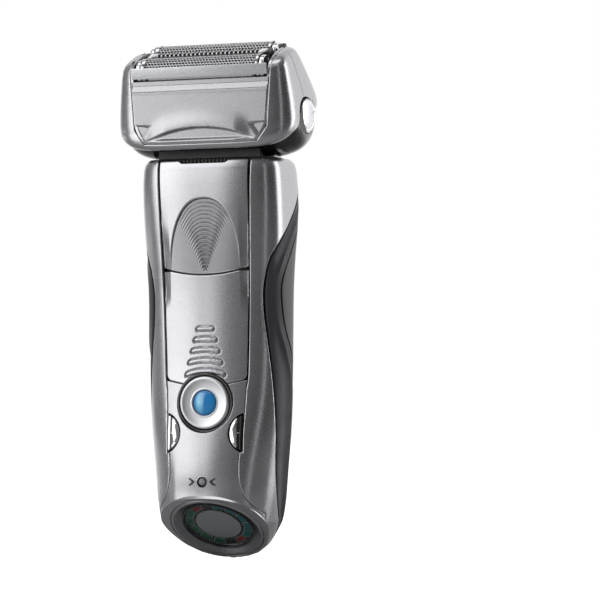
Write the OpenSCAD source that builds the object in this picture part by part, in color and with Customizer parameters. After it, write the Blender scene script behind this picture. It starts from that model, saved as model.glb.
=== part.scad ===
// Foil shaver: a pivoting head on a lofted handle, with a lift-off cutting cassette.
// Millimetres. +Z up along the handle, front towards -Y, origin under the middle of the whole shaver.

/* [Handle] */
// Height of the handle, from its foot to the rim under the head
handle_h = 126; // [122:1:130]
// Greatest width of the handle
handle_w = 47.4; // [46:0.2:49]
// Depth of the handle in front of its axis, at the shoulder
front_d = 14.5; // [14:0.1:15.4]
// Depth of the handle behind its axis, at the palm swell
back_d = 17; // [16.4:0.1:18.4]
// Wall of the moulded handle shells
shell_wall = 2; // [1.6:0.1:2.3]
// Width of the joint lines between the handle's outer parts
joint_gap = 0.3; // [0.2:0.05:0.4]

/* [Controls] */
// Diameter of the round power button
power_d = 17; // [15:0.5:18]
// Diameter of the blue lens in the power button
lens_d = 7.8; // [6:0.2:9]
// Height of the power button's centre above the foot
power_z = 49.3; // [48.5:0.1:50]
// Width of each speed key
key_w = 4.2; // [3.8:0.1:4.6]
// Height of each speed key
key_h = 11.6; // [10:0.2:12.4]
// Distance from the middle of the handle to the middle of each speed key
key_x = 10.4; // [10:0.1:10.6]
// Diameter of the reset button
reset_d = 2.7; // [2.2:0.1:3.2]
// Number of thumb ridges on the trimmer's slide
ridge_count = 5; // [4:1:6]

/* [Display] */
// Diameter of the display's window
window_d = 23.4; // [22:0.2:24.4]
// Diameter of the bezel round the window
bezel_d = 29.4; // [28.6:0.2:30]
// Lean of the end face from the vertical
dial_lean = 53; // [51:0.5:55]

/* [Long hair trimmer] */
// Width of the trimmer's cover at its lower end
cover_w = 28.4; // [27:0.2:29]
// Height of the middle of the joint between the cover and its thumb slide
cover_z = 89.4; // [88:0.2:91]
// Thickness of the cover and of the thumb slide
cover_t = 1.8; // [1.6:0.1:2]
// Diameter of the cover's hinge pin
hinge_d = 2; // [1.6:0.1:2.2]
// Number of teeth on the trimmer's comb
comb_teeth = 15; // [11:2:17]

/* [Head] */
// Forward lean of the head on the handle
head_lean = 25; // [23:1:26]
// Height of the head's swivel axis above the handle's rim
swivel_rise = 14; // [13.6:0.1:15]
// Width of the head over its side arms
head_w = 60; // [59:0.5:62]
// Radius of the head's underside about the swivel axis
belly_r = 13.2; // [12.8:0.1:13.4]
// Diameter of the swivel pins
swivel_d = 3.2; // [2.8:0.1:3.4]
// Diameter of the release buttons
release_d = 11.4; // [10.6:0.2:12]

/* [Cassette] */
// Wall of the cassette
cassette_wall = 1.5; // [1.3:0.1:1.7]
// Distance between the two foils
foil_pitch = 11.8; // [11.6:0.1:12]
// Outer radius of each foil
foil_r = 3.3; // [3:0.05:3.5]
// Thickness of the foil sheet
foil_t = 0.25; // [0.2:0.05:0.3]
// Travel of each floating cutting element
float_travel = 1.2; // [0.8:0.1:1.3]
// Number of blades on each cutter block
blade_count = 23; // [19:1:25]
// Thickness of one blade
blade_t = 0.5; // [0.4:0.05:0.6]
// Side to side stroke of the cutters, each way from the middle
stroke = 1; // [0.6:0.1:1.2]

/* [Hidden] */
$fn = 48;

slip = 0.05;          // radial clearance of a running pin
seat = 0.2;           // clearance between parts that seat in each other
clear = 0.4;          // clearance between parts that move past each other
tiny = 0.01;
far = 100;            // reach of the cutting tools
swivel_z = handle_h + swivel_rise;

// Outlines drawn in the side view, [depth, height], and pushed across the width
module across(width) {
    rotate([90, 0, 90]) linear_extrude(width, center = true) children();
}
// Outlines drawn in the front view, [side, height], and pushed forwards from a depth
module from_front(start = 0, reach = 40) {
    translate([0, -start, 0]) rotate([90, 0, 0]) linear_extrude(reach) children();
}
module both_sides() {
    children();
    mirror([1, 0, 0]) children();
}
// A block given by its corners
module block(low, high) {
    translate(low) cube(high - low);
}

// ---------- Curves ----------

// A smooth curve through points, "steps" stretches to each span
function blend3(a, b, c, d, t) =
    b + 0.5 * t * (c - a + t * (2 * a - 5 * b + 4 * c - d + t * (3 * (b - c) + d - a)));
function at(list, i) = list[max(0, min(len(list) - 1, i))];
function curve(points, steps) = [
    for (i = [0 : len(points) - 2], k = [0 : steps - 1])
        blend3(at(points, i - 1), points[i], points[i + 1], at(points, i + 2), k / steps),
    points[len(points) - 1]
];
function flip(points) = [for (i = [len(points) - 1 : -1 : 0]) [-points[i][0], points[i][1]]];

// ---------- Handle form ----------

// Rows up the handle: share of its height, then of its half width, front depth and back depth, then
// squareness
FORM = [
    [0, 0.44, 1.08, 0.96, 2.5], [0.015, 0.5, 1.09, 0.975, 2.5], [0.036, 0.6, 1.1, 0.99, 2.4],
    [0.065, 0.705, 1.11, 1.005, 2.4], [0.095, 0.783, 1.12, 1.015, 2.4], [0.155, 0.84, 1.13, 1.02, 2.4],
    [0.22, 0.875, 1.1, 1.02, 2.4], [0.3, 0.915, 1.03, 0.99, 2.5], [0.4, 0.95, 0.92, 0.93, 2.6],
    [0.48, 0.965, 0.875, 0.9, 2.7], [0.58, 0.97, 0.872, 0.89, 2.8], [0.67, 0.972, 0.89, 0.905, 2.9],
    [0.75, 0.98, 0.925, 0.95, 3.1], [0.84, 1, 0.965, 1, 3.4], [0.93, 1, 0.995, 0.94, 3.8],
    [0.975, 0.985, 0.985, 0.87, 3.9], [0.992, 0.96, 0.95, 0.82, 3.9], [1, 0.915, 0.88, 0.76, 3.9]
];
function form_span(s, i = 0) = (i >= len(FORM) - 2 || s <= FORM[i + 1][0]) ? i : form_span(s, i + 1);
function form_row(z) =
    let (s = max(0, min(1, z / handle_h)), i = form_span(s),
         t = (s - FORM[i][0]) / (FORM[i + 1][0] - FORM[i][0]),
         low = at(FORM, i - 1), high = at(FORM, i + 2))
    blend3(low, FORM[i], FORM[i + 1], high, t);
function form_radius(angle, half_w, depth, power) =
    pow(pow(abs(cos(angle)) / half_w, power) + pow(abs(sin(angle)) / depth, power), -1 / power);
function form_ring(z, inset, sides) =
    let (row = form_row(z), w = row[1] * handle_w / 2 - inset, f = row[2] * front_d - inset,
         b = row[3] * back_d - inset)
    [for (k = [0 : sides - 1])
        let (a = 360 * k / sides, r = form_radius(a, w, sin(a) < 0 ? f : b, row[4]))
        [r * cos(a), r * sin(a), z]];
// How far the handle's front face lies before its axis at a height
function front_at(z) = form_row(z)[2] * front_d;
function back_at(z) = form_row(z)[3] * back_d;

// A closed solid through a stack of rings
module loft(rings) {
    n = len(rings[0]);
    last = len(rings) - 1;
    points = [for (ring = rings) each ring];
    sides = [for (i = [0 : last - 1], k = [0 : n - 1])
        let (a = i * n + k, b = i * n + (k + 1) % n) each [[a, a + n, b + n], [a, b + n, b]]];
    foot = [[for (k = [0 : n - 1]) k]];
    top = [[for (k = [n - 1 : -1 : 0]) last * n + k]];
    polyhedron(points = points, faces = concat(foot, sides, top), convexity = 6);
}

// The handle's skin from one height to another, drawn inwards by an inset
module handle_form(z0, z1, inset = 0, rings = 28, sides = 48) {
    loft([for (i = [0 : rings]) form_ring(z0 + (z1 - z0) * i / rings, inset, sides)]);
}

// The tilted end face: its frame has +Z out of the face
dial_centre = [0, -3.4, 9.7];
module on_dial(lift = 0) {
    translate(dial_centre) rotate([90 + dial_lean, 0, 0]) translate([0, 0, lift]) children();
}
module below_dial(depth = 0) {
    on_dial(-depth) translate([-far / 2, -far / 2, 0]) cube(far);
}
module handle_solid(inset = 0, rings = 34, sides = 48) {
    difference() {
        handle_form(inset > 0 ? 1.2 * inset : 0, handle_h - 1.2 * inset, inset, rings, sides);
        below_dial(inset);
    }
}
module handle_skin() {
    difference() {
        handle_solid();
        handle_solid(shell_wall, 16, 32);
    }
}

// ---------- Joint lines of the handle, seen from the side as [depth, height] ----------

SEAM = [[9.5, 127], [9.4, 121], [8.8, 116], [5, 111], [0.4, 106.4], [-5.4, 100.6], [-8.8, 95], [-9.7,
    87],
    [-9.4, 77], [-8.6, 69], [-7.6, 60], [-6.6, 50], [-5.6, 40], [-4.6, 30], [-2.6, 21], [0.6, 15], [5,
        9.5],
    [8.4, 4.6], [9.2, 1], [9.4, -1]];
CREST = [[12.6, 127], [12.6, 116], [10.5, 108], [3, 98], [-4, 88], [-4.4, 80], [-2, 72], [4, 64], [10,
    57],
    [12.2, 50], [12.6, 30], [12.2, 16], [11.2, 9], [9.9, 4.6], [9.4, 1], [9.4, -1]];
foot_joint = 4.6;
// The zone in front of a joint line
module before(line, gap) {
    side = curve([for (p = line) [p[0] - gap, p[1] * handle_h / 126]], 3);
    polygon(concat(side, [[-40, -1], [-40, 127 * handle_h / 126]]));
}
module front_zone(gap) {
    before(SEAM, gap);
    intersection() {
        before(CREST, gap);
        translate([-40, -1]) square([80, foot_joint + 1]);
    }
}

// ---------- Joint lines of the handle's front, seen from the front as [half width, height] ----------

trim_depth = 6.8;                 // the trimmer's bay reaches back to this depth
slide_low = power_z + 6.2;
bay_top = handle_h + 4;
function strip_half(z) = cover_w / 2 + 0.35 - 0.9 * (cover_z - z) / 36;
// The strip that the trimmer's cover and its slide lie in
module strip(z0, z1, gap) {
    polygon([[-strip_half(z0) + gap, z0], [strip_half(z0) - gap, z0],
        [strip_half(z1) - gap, z1], [-strip_half(z1) + gap, z1]]);
}
PANEL_EDGE = [[13.5, 60], [13.3, 53], [13, 46], [12.7, 40], [11.9, 34.5], [11.5, 29], [11.9, 24],
    [13.6, 19.5], [17, 15.6]];
module panel_outline(gap) {
    right = [for (p = curve(PANEL_EDGE, 3)) [p[0] - gap, p[1] * power_z / 49.3]];
    polygon(concat(right, [[17, 6], [-17, 6]], flip(right)));
}
// The joint between the trimmer's cover and its slide is an arc, cut at 45 degrees through the wall
arc_r = 49;
arc_z = cover_z + arc_r;
module arc_cut(grow) {
    depth = front_at(cover_z);
    translate([0, 0, arc_z]) rotate([90, 0, 0])
        cylinder(h = 2 * depth, r1 = arc_r + grow + depth, r2 = arc_r + grow - depth, $fn = 96);
}

power_ring = power_d + 1.8;
key_z = power_z - 9.4;
reset_z = power_z - 24.6;

// The rounded D of a speed key, straight side out
module key_shape(side, grow) {
    edge = key_x + key_w / 2;
    bow = (key_h * key_h / 4 + key_w * key_w) / (2 * key_w);
    translate([0, key_z]) scale([side, 1]) intersection() {
        translate([edge - key_w + bow, 0]) circle(r = bow + grow, $fn = 64);
        translate([edge + grow - 20, -15]) square([20, 30]);
    }
}

// ---------- Handle ----------

module front_shell() color([0.60, 0.60, 0.62]) difference() {
    intersection() {
        handle_skin();
        across(far) front_zone(joint_gap / 2);
    }
    from_front(trim_depth) strip(slide_low - 2, bay_top, 0);
    from_front(trim_depth) panel_outline(0);
    from_front() for (side = [-1, 1]) key_shape(side, seat);
    on_dial(-6) cylinder(d = bezel_d + 2 * joint_gap, h = 20);
    deck_opening();
    post_holes();
}

module deck_opening() {
    half = neck_half + clear;
    translate([-half, -trim_depth - 1, handle_h - 8]) cube([2 * half, trim_depth + 1 + 9.8, 20]);
}
module post_holes() {
    both_sides() block([post_x - seat, swivel_y - post_d / 2 - seat, handle_h - 8],
        [post_x + post_t + seat, swivel_y + post_d / 2 + seat, handle_h + 9]);
}

module back_shell() color([0.09, 0.09, 0.10]) difference() {
    handle_skin();
    across(far) union() {
        before(CREST, -joint_gap / 2);
        front_zone(-joint_gap / 2);
    }
    socket_body(seat);
    contact_studs(seat);
    lock_slot();
    back_ribs();
    deck_opening();
    post_holes();
}
// Shallow finger grooves across the back
groove_count = 6;
groove_pitch = 5.5;
groove_depth = 0.5;
module back_ribs() {
    for (i = [0 : groove_count - 1]) let (z = 62 + i * groove_pitch) difference() {
        block([-9, 9, z], [9, far, z + 1]);
        handle_form(z - 0.5, z + 1.5, groove_depth, 1);
    }
}

module grip(side) difference() {
    intersection() {
        handle_skin();
        across(far) before(CREST, joint_gap / 2);
        translate([side * (9 + far / 2), 0, foot_joint + joint_gap + far]) cube([far, far, 2 * far],
            center = true);
    }
    across(far) before(SEAM, -joint_gap / 2);
    from_front(trim_depth) strip(slide_low - 2, bay_top, 0);
    deck_opening();
    post_holes();
}
module grip_left() color([0.05, 0.05, 0.06]) grip(-1);
module grip_right() color([0.05, 0.05, 0.06]) grip(1);

module control_panel() color([0.62, 0.62, 0.64]) difference() {
    intersection() {
        skin_band(8, slide_low + 1, shell_wall);
        from_front(trim_depth) panel_outline(joint_gap);
    }
    from_front(trim_depth) slide_foot(0.6);
    from_front() translate([0, power_z]) circle(d = power_ring);
    from_front() for (side = [-1, 1]) key_shape(side, seat);
    from_front() translate([0, reset_z]) circle(d = reset_d + 2 * seat);
    below_dial(2);
    on_dial(-6) cylinder(d = bezel_d + 2 * joint_gap, h = 20);
}
// The lower edge of the trimmer's slide runs down to the ring of the power button
module slide_foot(gap) {
    polygon([[-20, slide_low + 2.4 - gap], [0, slide_low - 1.8 - gap], [20, slide_low + 2.4 - gap],
        [20, 130],
        [-20, 130]]);
}
// A band of the handle's skin with no end caps
module skin_band(z0, z1, wall) {
    difference() {
        handle_form(z0, z1, 0, ceil((z1 - z0) / 4));
        handle_form(z0 - 1, z1 + 1, wall, ceil((z1 - z0) / 4));
    }
}

power_back = 10.2;
module power_button() color([0.75, 0.76, 0.78]) difference() {
    face = front_at(power_z) + 0.5;
    translate([0, 0, power_z]) rotate([90, 0, 0]) rotate_extrude($fn = 72) polygon([
        [0, power_back], [power_d / 2, power_back], [power_d / 2, face - 0.8], [power_d / 2 - 0.5, face],
        [power_d / 2 - 1.4, face - 0.2], [lens_d / 2 + 1.2, face - 0.8], [0, face - 0.8]]);
    translate([0, 1 - face, power_z]) rotate([90, 0, 0]) cylinder(d = lens_d + 2 * slip, h = 10);
}
module power_lens() color([0.10, 0.45, 0.85]) {
    face = front_at(power_z) + 0.5;
    translate([0, 0, power_z]) rotate([90, 0, 0]) rotate_extrude($fn = 72) polygon(concat([[0,
        face - 1]],
        [for (a = [0 : 15 : 90]) [lens_d / 2 * cos(a), face - 0.7 + 1.3 * sin(a)]]));
}

module speed_key(side) {
    difference() {
        from_front(9.6, front_at(key_z) - 0.4 - 9.6) key_shape(side, 0);
        translate([0, 0, key_z]) block([-20, -20, -0.2], [20, -front_at(key_z) + 0.9, 0.2]);
    }
}
module minus_key() color([0.80, 0.81, 0.83]) speed_key(-1);
module plus_key() color([0.80, 0.81, 0.83]) speed_key(1);

module reset_button() color([0.06, 0.06, 0.07]) translate([0, 0, reset_z]) rotate([90, 0, 0]) {
    flange = front_at(reset_z) - shell_wall - clear;
    translate([0, 0, flange - 1.6]) cylinder(d = reset_d + 1.6, h = 1.6);
    translate([0, 0, flange - 1]) cylinder(d = reset_d, h = front_at(reset_z) - 0.3 - flange + 1);
}

// ---------- Display in the tilted end face ----------

module display_bezel() color([0.45, 0.45, 0.47]) on_dial() rotate_extrude($fn = 96) polygon([
    [bezel_d / 2, -1.9], [bezel_d / 2, -0.2], [bezel_d / 2 - 0.6, 0], [window_d / 2 + 0.6, -1.1],
    [window_d / 2, -1.3], [window_d / 2, -1.5], [window_d / 2 - 0.9, -1.5], [window_d / 2 - 0.9, -3],
    [window_d / 2 + 1, -3], [window_d / 2 + 1, -1.9]]);
module display_window() color([0.3, 0.33, 0.36, 0.4]) on_dial(-1.5) cylinder(d = window_d - 2 * slip,
    h = 0.9);
module display_panel() color([0.03, 0.03, 0.035]) on_dial(-3) cylinder(d = window_d - 2.2, h = 1,
    $fn = 72);
dial_low = -2;
module display_disc() color([0.42, 0.42, 0.43]) on_dial(dial_low) cylinder(d = 14.6, h = 0.3);
// Twelve display bars round the disc, each a stretch of a ring
module bars(from, count, step = 27) {
    for (i = [0 : count - 1]) on_dial(dial_low) rotate(from + i * step)
        rotate_extrude(angle = step - 4, $fn = 96) translate([7.9, 0]) square([2.4, 0.3]);
}
module charge_segments() color([0.05, 0.50, 0.52]) bars(-72 + 27, 5);
module clean_segments() color([0.08, 0.50, 0.22]) bars(108 + 27, 5);
module service_segments() color([0.62, 0.10, 0.12]) { bars(-72, 1); bars(108, 1); }

// ---------- Long hair trimmer ----------

hinge_y = -8.6;
hinge_z = cover_z + 10.6;
notch_half = 9.4;
joint_half = 0.4;

module trimmer_cover() color([0.60, 0.60, 0.62]) difference() {
    intersection() {
        skin_band(cover_z - 3, handle_h - 0.3, cover_t);
        from_front(trim_depth) strip(cover_z - 3, bay_top, joint_gap);
        arc_cut(-joint_half);
    }
    // thinned skirts, which swing in past the chassis
    block([-far, -10.5, 0], [far, 0, far * 2]);
    from_front() polygon([[-notch_half, handle_h - 1.4], [notch_half, handle_h - 1.4],
        [notch_half + 1.4, handle_h + 1], [-notch_half - 1.4, handle_h + 1]]);
}

carrier_half = 12.6;
comb_y = 10.9;
comb_foot = handle_h - 9.6;      // the cover stands clear of the comb above this height
// Back of the cover at the carrier's edge, at a height
function cover_back(z) = 0.93 * (cover_t - front_at(z)) + 2 * seat;
module trimmer_carrier() color([0.07, 0.07, 0.08]) difference() {
    union() {
        across(2 * carrier_half) polygon([[cover_back(cover_z + 4.6) - seat, cover_z + 4.6],
            [cover_back(comb_foot) - seat, comb_foot], [-comb_y + 0.95, comb_foot],
            [-comb_y + 0.95, handle_h - 2.4], [-8.6, handle_h - 2.4], [-8.8, hinge_z + 4],
            [-9.2, cover_z + 4.6]]);
        translate([0, hinge_y, hinge_z]) rotate([0, 90, 0]) cylinder(r = 1.9, h = 2 * carrier_half,
            center = true);
    }
    translate([0, hinge_y, hinge_z]) rotate([0, 90, 0]) cylinder(d = hinge_d + 2 * slip, h = far,
        center = true);
}
ear_t = 1.4;
module trimmer_pin() color([0.78, 0.79, 0.80]) translate([0, hinge_y, hinge_z]) rotate([0, 90, 0])
    cylinder(d = hinge_d, h = 2 * (ear_x + ear_t), center = true);

tooth_pitch = 2 * notch_half / comb_teeth;
module toothed(width, foot, low, tip) {
    translate([-width / 2, foot]) square([width, low - foot]);
    for (i = [0 : comb_teeth - 1]) translate([(i - (comb_teeth - 1) / 2) * tooth_pitch, low - tiny])
        polygon([[-0.3 * tooth_pitch, 0], [0.3 * tooth_pitch, 0], [0.16 * tooth_pitch, tip - low],
            [-0.16 * tooth_pitch, tip - low]]);
}
module trimmer_comb() color([0.80, 0.81, 0.83])
    from_front(comb_y, 0.6) toothed(2 * notch_half - 0.4, handle_h - 8.6, handle_h - 2.6,
        handle_h - 0.3);
module trimmer_cutter() color([0.70, 0.71, 0.73])
    from_front(comb_y - 0.7, 0.5) toothed(2 * notch_half - 2.4, handle_h - 7.6, handle_h - 2.8,
        handle_h - 0.9);

module trimmer_slide() color([0.62, 0.62, 0.64]) {
    difference() {
        intersection() {
            skin_band(slide_low - 4, cover_z + 4, cover_t);
            from_front(trim_depth) intersection() {
                strip(slide_low - 4, cover_z + 4, joint_gap);
                slide_foot(0);
            }
        }
        arc_cut(joint_half);
        from_front() translate([0, power_z]) circle(d = power_ring + 0.6);
    }
    thumb_ridges();
    block([-5, -front_at(70) + cover_t - 0.2, 62], [5, -9.6, 82]);
}
// Curved thumb ridges, wider towards the power button
ridge_pitch = 3.28;
module thumb_ridges() {
    for (i = [0 : ridge_count - 1]) let (z = cover_z - 17 - i * ridge_pitch, half = 2.9 + i * 0.95,
        r = 30 - 3 * i)
        from_front(front_at(z) - 0.5, 0.9) translate([0, z - r]) intersection() {
            difference() {
                circle(r = r + 0.6);
                circle(r = r - 0.6);
            }
            translate([-half, 0]) square([2 * half, 2 * r]);
        }
}

// ---------- Inside the handle ----------

plate_y = -6.4;
ear_x = 13;
post_x = handle_w / 2 - 5.8;
post_t = 2.4;
post_d = 5;
swivel_y = -0.8;
post_foot = handle_h - 13;
rail_half = 15.6;

module chassis() color([0.85, 0.85, 0.82]) difference() {
    union() {
        block([-rail_half, plate_y, 20], [rail_half, plate_y + 1.4, handle_h - 6]);
        both_sides() block([rail_half - 1.4, plate_y, 20], [rail_half, 7, handle_h - 6]);
        block([-post_x - post_t, -4.8, post_foot - 1.6], [post_x + post_t, 3, handle_h - 5]);
        block([0.2 - neck_half, 2.9, post_foot - 1.6], [neck_half - 0.2, 9.6, handle_h - 5]);
        both_sides() across_at(ear_x, ear_t) polygon([[plate_y, hinge_z - 3.6], [hinge_y + 0.6,
            hinge_z - 1.6],
            [hinge_y - 1.2, hinge_z - 0.2], [hinge_y - 1.2, hinge_z + 1.6], [plate_y, hinge_z + 4]]);
        block([-rail_half + 0.6, plate_y, 20], [rail_half - 0.6, 8.4, 21.4]);
    }
    translate([0, hinge_y, hinge_z]) rotate([0, 90, 0]) cylinder(d = hinge_d, h = far, center = true);
    both_sides() block([post_x, swivel_y - post_d / 2, post_foot], [post_x + post_t,
        swivel_y + post_d / 2, far * 2]);
    for (x = [-screw_x, screw_x]) translate([x, screw_y, handle_h - 11]) cylinder(d = 2, h = 20);
}
module across_at(x, t) {
    translate([x + t / 2, 0, 0]) across(t) children();
}

cell_d = 14;
cell_h = 50;
module battery() color([0.16, 0.38, 0.55]) for (side = [-1, 1]) translate([side * (cell_d / 2 + 0.05),
    plate_y + 1.4 + cell_d / 2 + 0.1, 40]) {
    cylinder(d = cell_d, h = cell_h);
    cylinder(d = 5, h = cell_h + 1.2);
}

board_t = 1.4;
module circuit_board() color([0.06, 0.30, 0.16]) {
    block([-13.6, plate_y - board_t, 22], [13.6, plate_y, 84]);
    board = -plate_y + board_t;
    switch_t = 0.9;
    from_front(board, switch_t) translate([0, power_z]) square(6, center = true);
    from_front(board, switch_t) for (x = [-key_x, key_x]) translate([x, key_z]) square([3, 5],
        center = true);
    from_front(board, 2.3) translate([0, reset_z]) square(3.4, center = true);
    from_front(board, 1) translate([-8, power_z + 20]) square(7, center = true);
    from_front(board, 1.4) translate([8, power_z + 16]) square([5, 9], center = true);
}

// Two-pin power inlet, opening downwards behind the display
socket_y = 12.5;
socket_w = 9.2;
socket_d = 4.6;
socket_depth = 9;
module socket_body(grow) {
    block([-socket_w / 2 - 1.2 - grow, socket_y - socket_d / 2 - 0.5 - grow, -grow],
        [socket_w / 2 + 1.2 + grow, socket_y + socket_d / 2 + 0.7 + grow, socket_depth + 3 + grow]);
}
module power_socket() color([0.05, 0.05, 0.055]) difference() {
    socket_body(0);
    block([-socket_w / 2, socket_y - socket_d / 2, -1], [socket_w / 2, socket_y + socket_d / 2,
        socket_depth]);
    socket_pin_rods(0);
}
module socket_pin_rods(grow) {
    for (x = [-2, 2]) translate([x, socket_y, socket_depth - 4]) cylinder(r = 0.8 + grow, h = 9);
}
module socket_pins() color([0.83, 0.80, 0.62]) socket_pin_rods(0);

// Contacts for the cleaning station, low on the back
module contact_studs(grow) {
    for (x = [-6, 6]) translate([x, 12, 24]) rotate([-90, 0, 0])
        cylinder(d = 3.6 + 2 * grow, h = back_at(24) - 12 - 0.5 + (grow > 0 ? 3 : 0));
}
module station_contacts() color([0.83, 0.78, 0.60]) contact_studs(0);

// ---------- Head lock, high on the back ----------

lock_z = handle_h - 13;
lock_travel = 4;
lock_face = back_at(lock_z - 2.6);
lock_back = back_at(lock_z + 2.4 + lock_travel) - shell_wall - clear;
module lock_slot() {
    block([-1.6 - seat, 8, lock_z - 2 - seat], [1.6 + seat, 30, lock_z + 2 + lock_travel + seat]);
}
module head_lock() color([0.10, 0.10, 0.11]) {
    block([-1.6, lock_back - 1, lock_z - 2], [1.6, lock_face + 0.6, lock_z + 2]);
    block([-4, lock_back - 1.2, lock_z - 2.4], [4, lock_back, lock_z + 2.4]);
    translate([0, 0, lock_z]) difference() {
        rotate([-90, 0, 0]) linear_extrude(lock_face + 1.6) union() {
            translate([-2.4, 0]) circle(d = 5.2);
            translate([2.4, 0]) circle(d = 5.2);
            square([4.8, 5.2], center = true);
        }
        block([-10, -10, -5], [10, lock_face + seat, 5]);
        for (z = [-1.4, 0, 1.4]) block([-3, lock_face + 1.2, z - 0.25], [3, lock_face + 3, z + 0.25]);
    }
}

// ---------- Neck and swivel ----------

screw_x = 12;
screw_y = 7;
belly_gap = 0.7;
neck_half = post_x - 0.7;
module neck() color([0.05, 0.05, 0.055]) difference() {
    union() {
        block([-neck_half, plate_y + 1.4, handle_h - 5], [neck_half, 9.4, handle_h]);
        across(2 * neck_half) polygon([[-9, handle_h + 0.2], [-9, swivel_z - 10.6], [-7.6,
            swivel_z - 9.6], [8.4, swivel_z - 9.6],
            [9.4, swivel_z - 10.6], [9.4, handle_h - 1], [-6, handle_h - 1], [-6, handle_h + 0.2]]);
    }
    translate([0, swivel_y, swivel_z]) rotate([0, 90, 0]) cylinder(r = belly_r + belly_gap, h = far,
        center = true);
    for (x = [-screw_x, screw_x]) translate([x, screw_y, handle_h - 11]) {
        cylinder(d = 2.2, h = 20);
        translate([0, 0, 10]) cylinder(d = 4.2, h = 20);
    }
}
module neck_screws() color([0.75, 0.76, 0.78]) for (x = [-screw_x, screw_x]) translate([x, screw_y,
    handle_h - 10.8]) {
    cylinder(d = 2, h = 10);
    translate([0, 0, 9.8]) cylinder(d = 3.8, h = 1.6);
}
module swivel_posts() color([0.78, 0.79, 0.80]) difference() {
    both_sides() translate([post_x, swivel_y, 0]) rotate([90, 0, 90]) linear_extrude(post_t) union() {
        translate([0, swivel_z]) circle(r = post_d / 2 + 0.6);
        translate([-post_d / 2, post_foot]) square([post_d, swivel_z - post_foot]);
    }
    translate([0, swivel_y, swivel_z]) rotate([0, 90, 0]) cylinder(d = swivel_d + 2 * slip, h = far,
        center = true);
}

// ---------- Head: drawn upright about its swivel axis, then leaned forward ----------

module on_head() {
    translate([0, swivel_y, swivel_z]) rotate([head_lean, 0, 0]) children();
}
module head_rod(d, x0, x1) {
    translate([x0, 0, 0]) rotate([0, 90, 0]) cylinder(d = d, h = x1 - x0);
}
deck_z = 6.2;
well_x = post_x - 1.7;      // half width of the motor's well
slot_x0 = post_x - clear;
slot_x1 = post_x + post_t + clear;
bezel_x = head_w / 2 - 6.5; // inner face of the side arms
cheek_x = head_w / 2 - 0.5;
arch_r = 31;
arch_top = 6;

// Side view of the black cheek round a release button
module cheek_shape(grow) {
    intersection() {
        circle(r = belly_r + 1 + grow);
        translate([0, arch_top - arch_r]) circle(r = arch_r + grow, $fn = 96);
        translate([-20, -5 - grow]) square([40, 20]);
    }
}
module head_pan() color([0.045, 0.045, 0.05]) on_head() difference() {
    union() {
        intersection() {
            rotate([0, 90, 0]) rotate_extrude($fn = 96) polygon([[0, -cheek_x], [8.6, -cheek_x],
                [10.4, 1.6 - cheek_x],
                [12.2, 4.4 - cheek_x], [belly_r, 8 - cheek_x], [belly_r, cheek_x - 8], [12.2,
                    cheek_x - 4.4],
                [10.4, cheek_x - 1.6], [8.6, cheek_x], [0, cheek_x]]);
            union() {
                block([-bezel_x, -far, -far], [bezel_x, far, deck_z]);
                across(far) intersection() {
                    circle(r = belly_r + 1);
                    translate([0, arch_top - arch_r]) circle(r = arch_r, $fn = 96);
                }
            }
        }
        both_sides() intersection() {
            across_at(bezel_x, cheek_x - bezel_x) cheek_shape(0);
            linear_extrude(far, center = true) polygon([[0, -20], [cheek_x - 1.4, -14.4], [cheek_x,
                -9], [cheek_x, 9],
                [cheek_x - 1.4, 14.4], [0, 20]]);
        }
    }
    // motor well
    intersection() {
        head_rod(2 * (belly_r - 1.5), -well_x, well_x);
        block([-far, -far, -10.6], [far, far, far]);
    }
    // slots that the posts swing in
    both_sides() across_at(slot_x0, slot_x1 - slot_x0) union() {
        circle(r = post_d / 2 + 0.6 + clear);
        slot_sector(post_d / 2 + clear);
    }
    head_rod(swivel_d, -pin_end, pin_end);
    both_sides() {
        head_rod(release_d + 2 * seat, cheek_x - 4.6, far);
        translate([0, 0, latch_z]) head_rod(2.8, slot_x1 + 0.6, far);
    }
}
// What a post sweeps in the head as the head swings, from its forward stop to its backward one
swing = 40;
module slot_sector(r) {
    polygon([[-r * cos(head_lean), r * sin(head_lean)], [-r * cos(head_lean) - 20 * sin(head_lean),
        r * sin(head_lean) - 20 * cos(head_lean)], [0, -24],
            [r * cos(swing - head_lean) + 20 * sin(swing - head_lean),
        r * sin(swing - head_lean) - 20 * cos(swing - head_lean)], [r * cos(swing - head_lean),
        r * sin(swing - head_lean)]]);
}
latch_z = 4.1;
pin_end = slot_x1 + 1.6;
module swivel_pins() color([0.80, 0.81, 0.83]) on_head() both_sides() head_rod(swivel_d, well_x + 0.3,
    pin_end);

// Front view of the silver frame
frame_low = -5;
frame_top = 20.4;
half = head_w / 2;
module frame_outline() {
    polygon(concat([[half - 3.4, frame_top], [half - 2.2, 18.6], [half - 1.1, 12], [half - 0.2, 5],
        [half, 1],
        [half - 0.6, -1.8], [half - 2.4, -3.8], [half - 5.6, frame_low]], flip([[half - 3.4, frame_top],
        [half - 2.2, 18.6], [half - 1.1, 12], [half - 0.2, 5], [half, 1], [half - 0.6, -1.8],
            [half - 2.4, -3.8],
        [half - 5.6, frame_low]])));
}
plate_slope = (17.9 - 10.2) / 18.5;
function plate_at(z) = 17.9 - (z + 1.8) * plate_slope;
module frame_side() {
    polygon([[-8.2, frame_top], [-plate_at(18.4) - 0.4, 18.4], [-plate_at(-2.4) - 0.6, -2.4], [-18.6,
        -4.2],
        [-17.4, frame_low], [17.4, frame_low], [18.6, -4.2], [plate_at(-2.4) + 0.6, -2.4],
        [plate_at(18.4) + 0.4, 18.4], [8.2, frame_top]]);
}
sill_z = -2.2;
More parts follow.
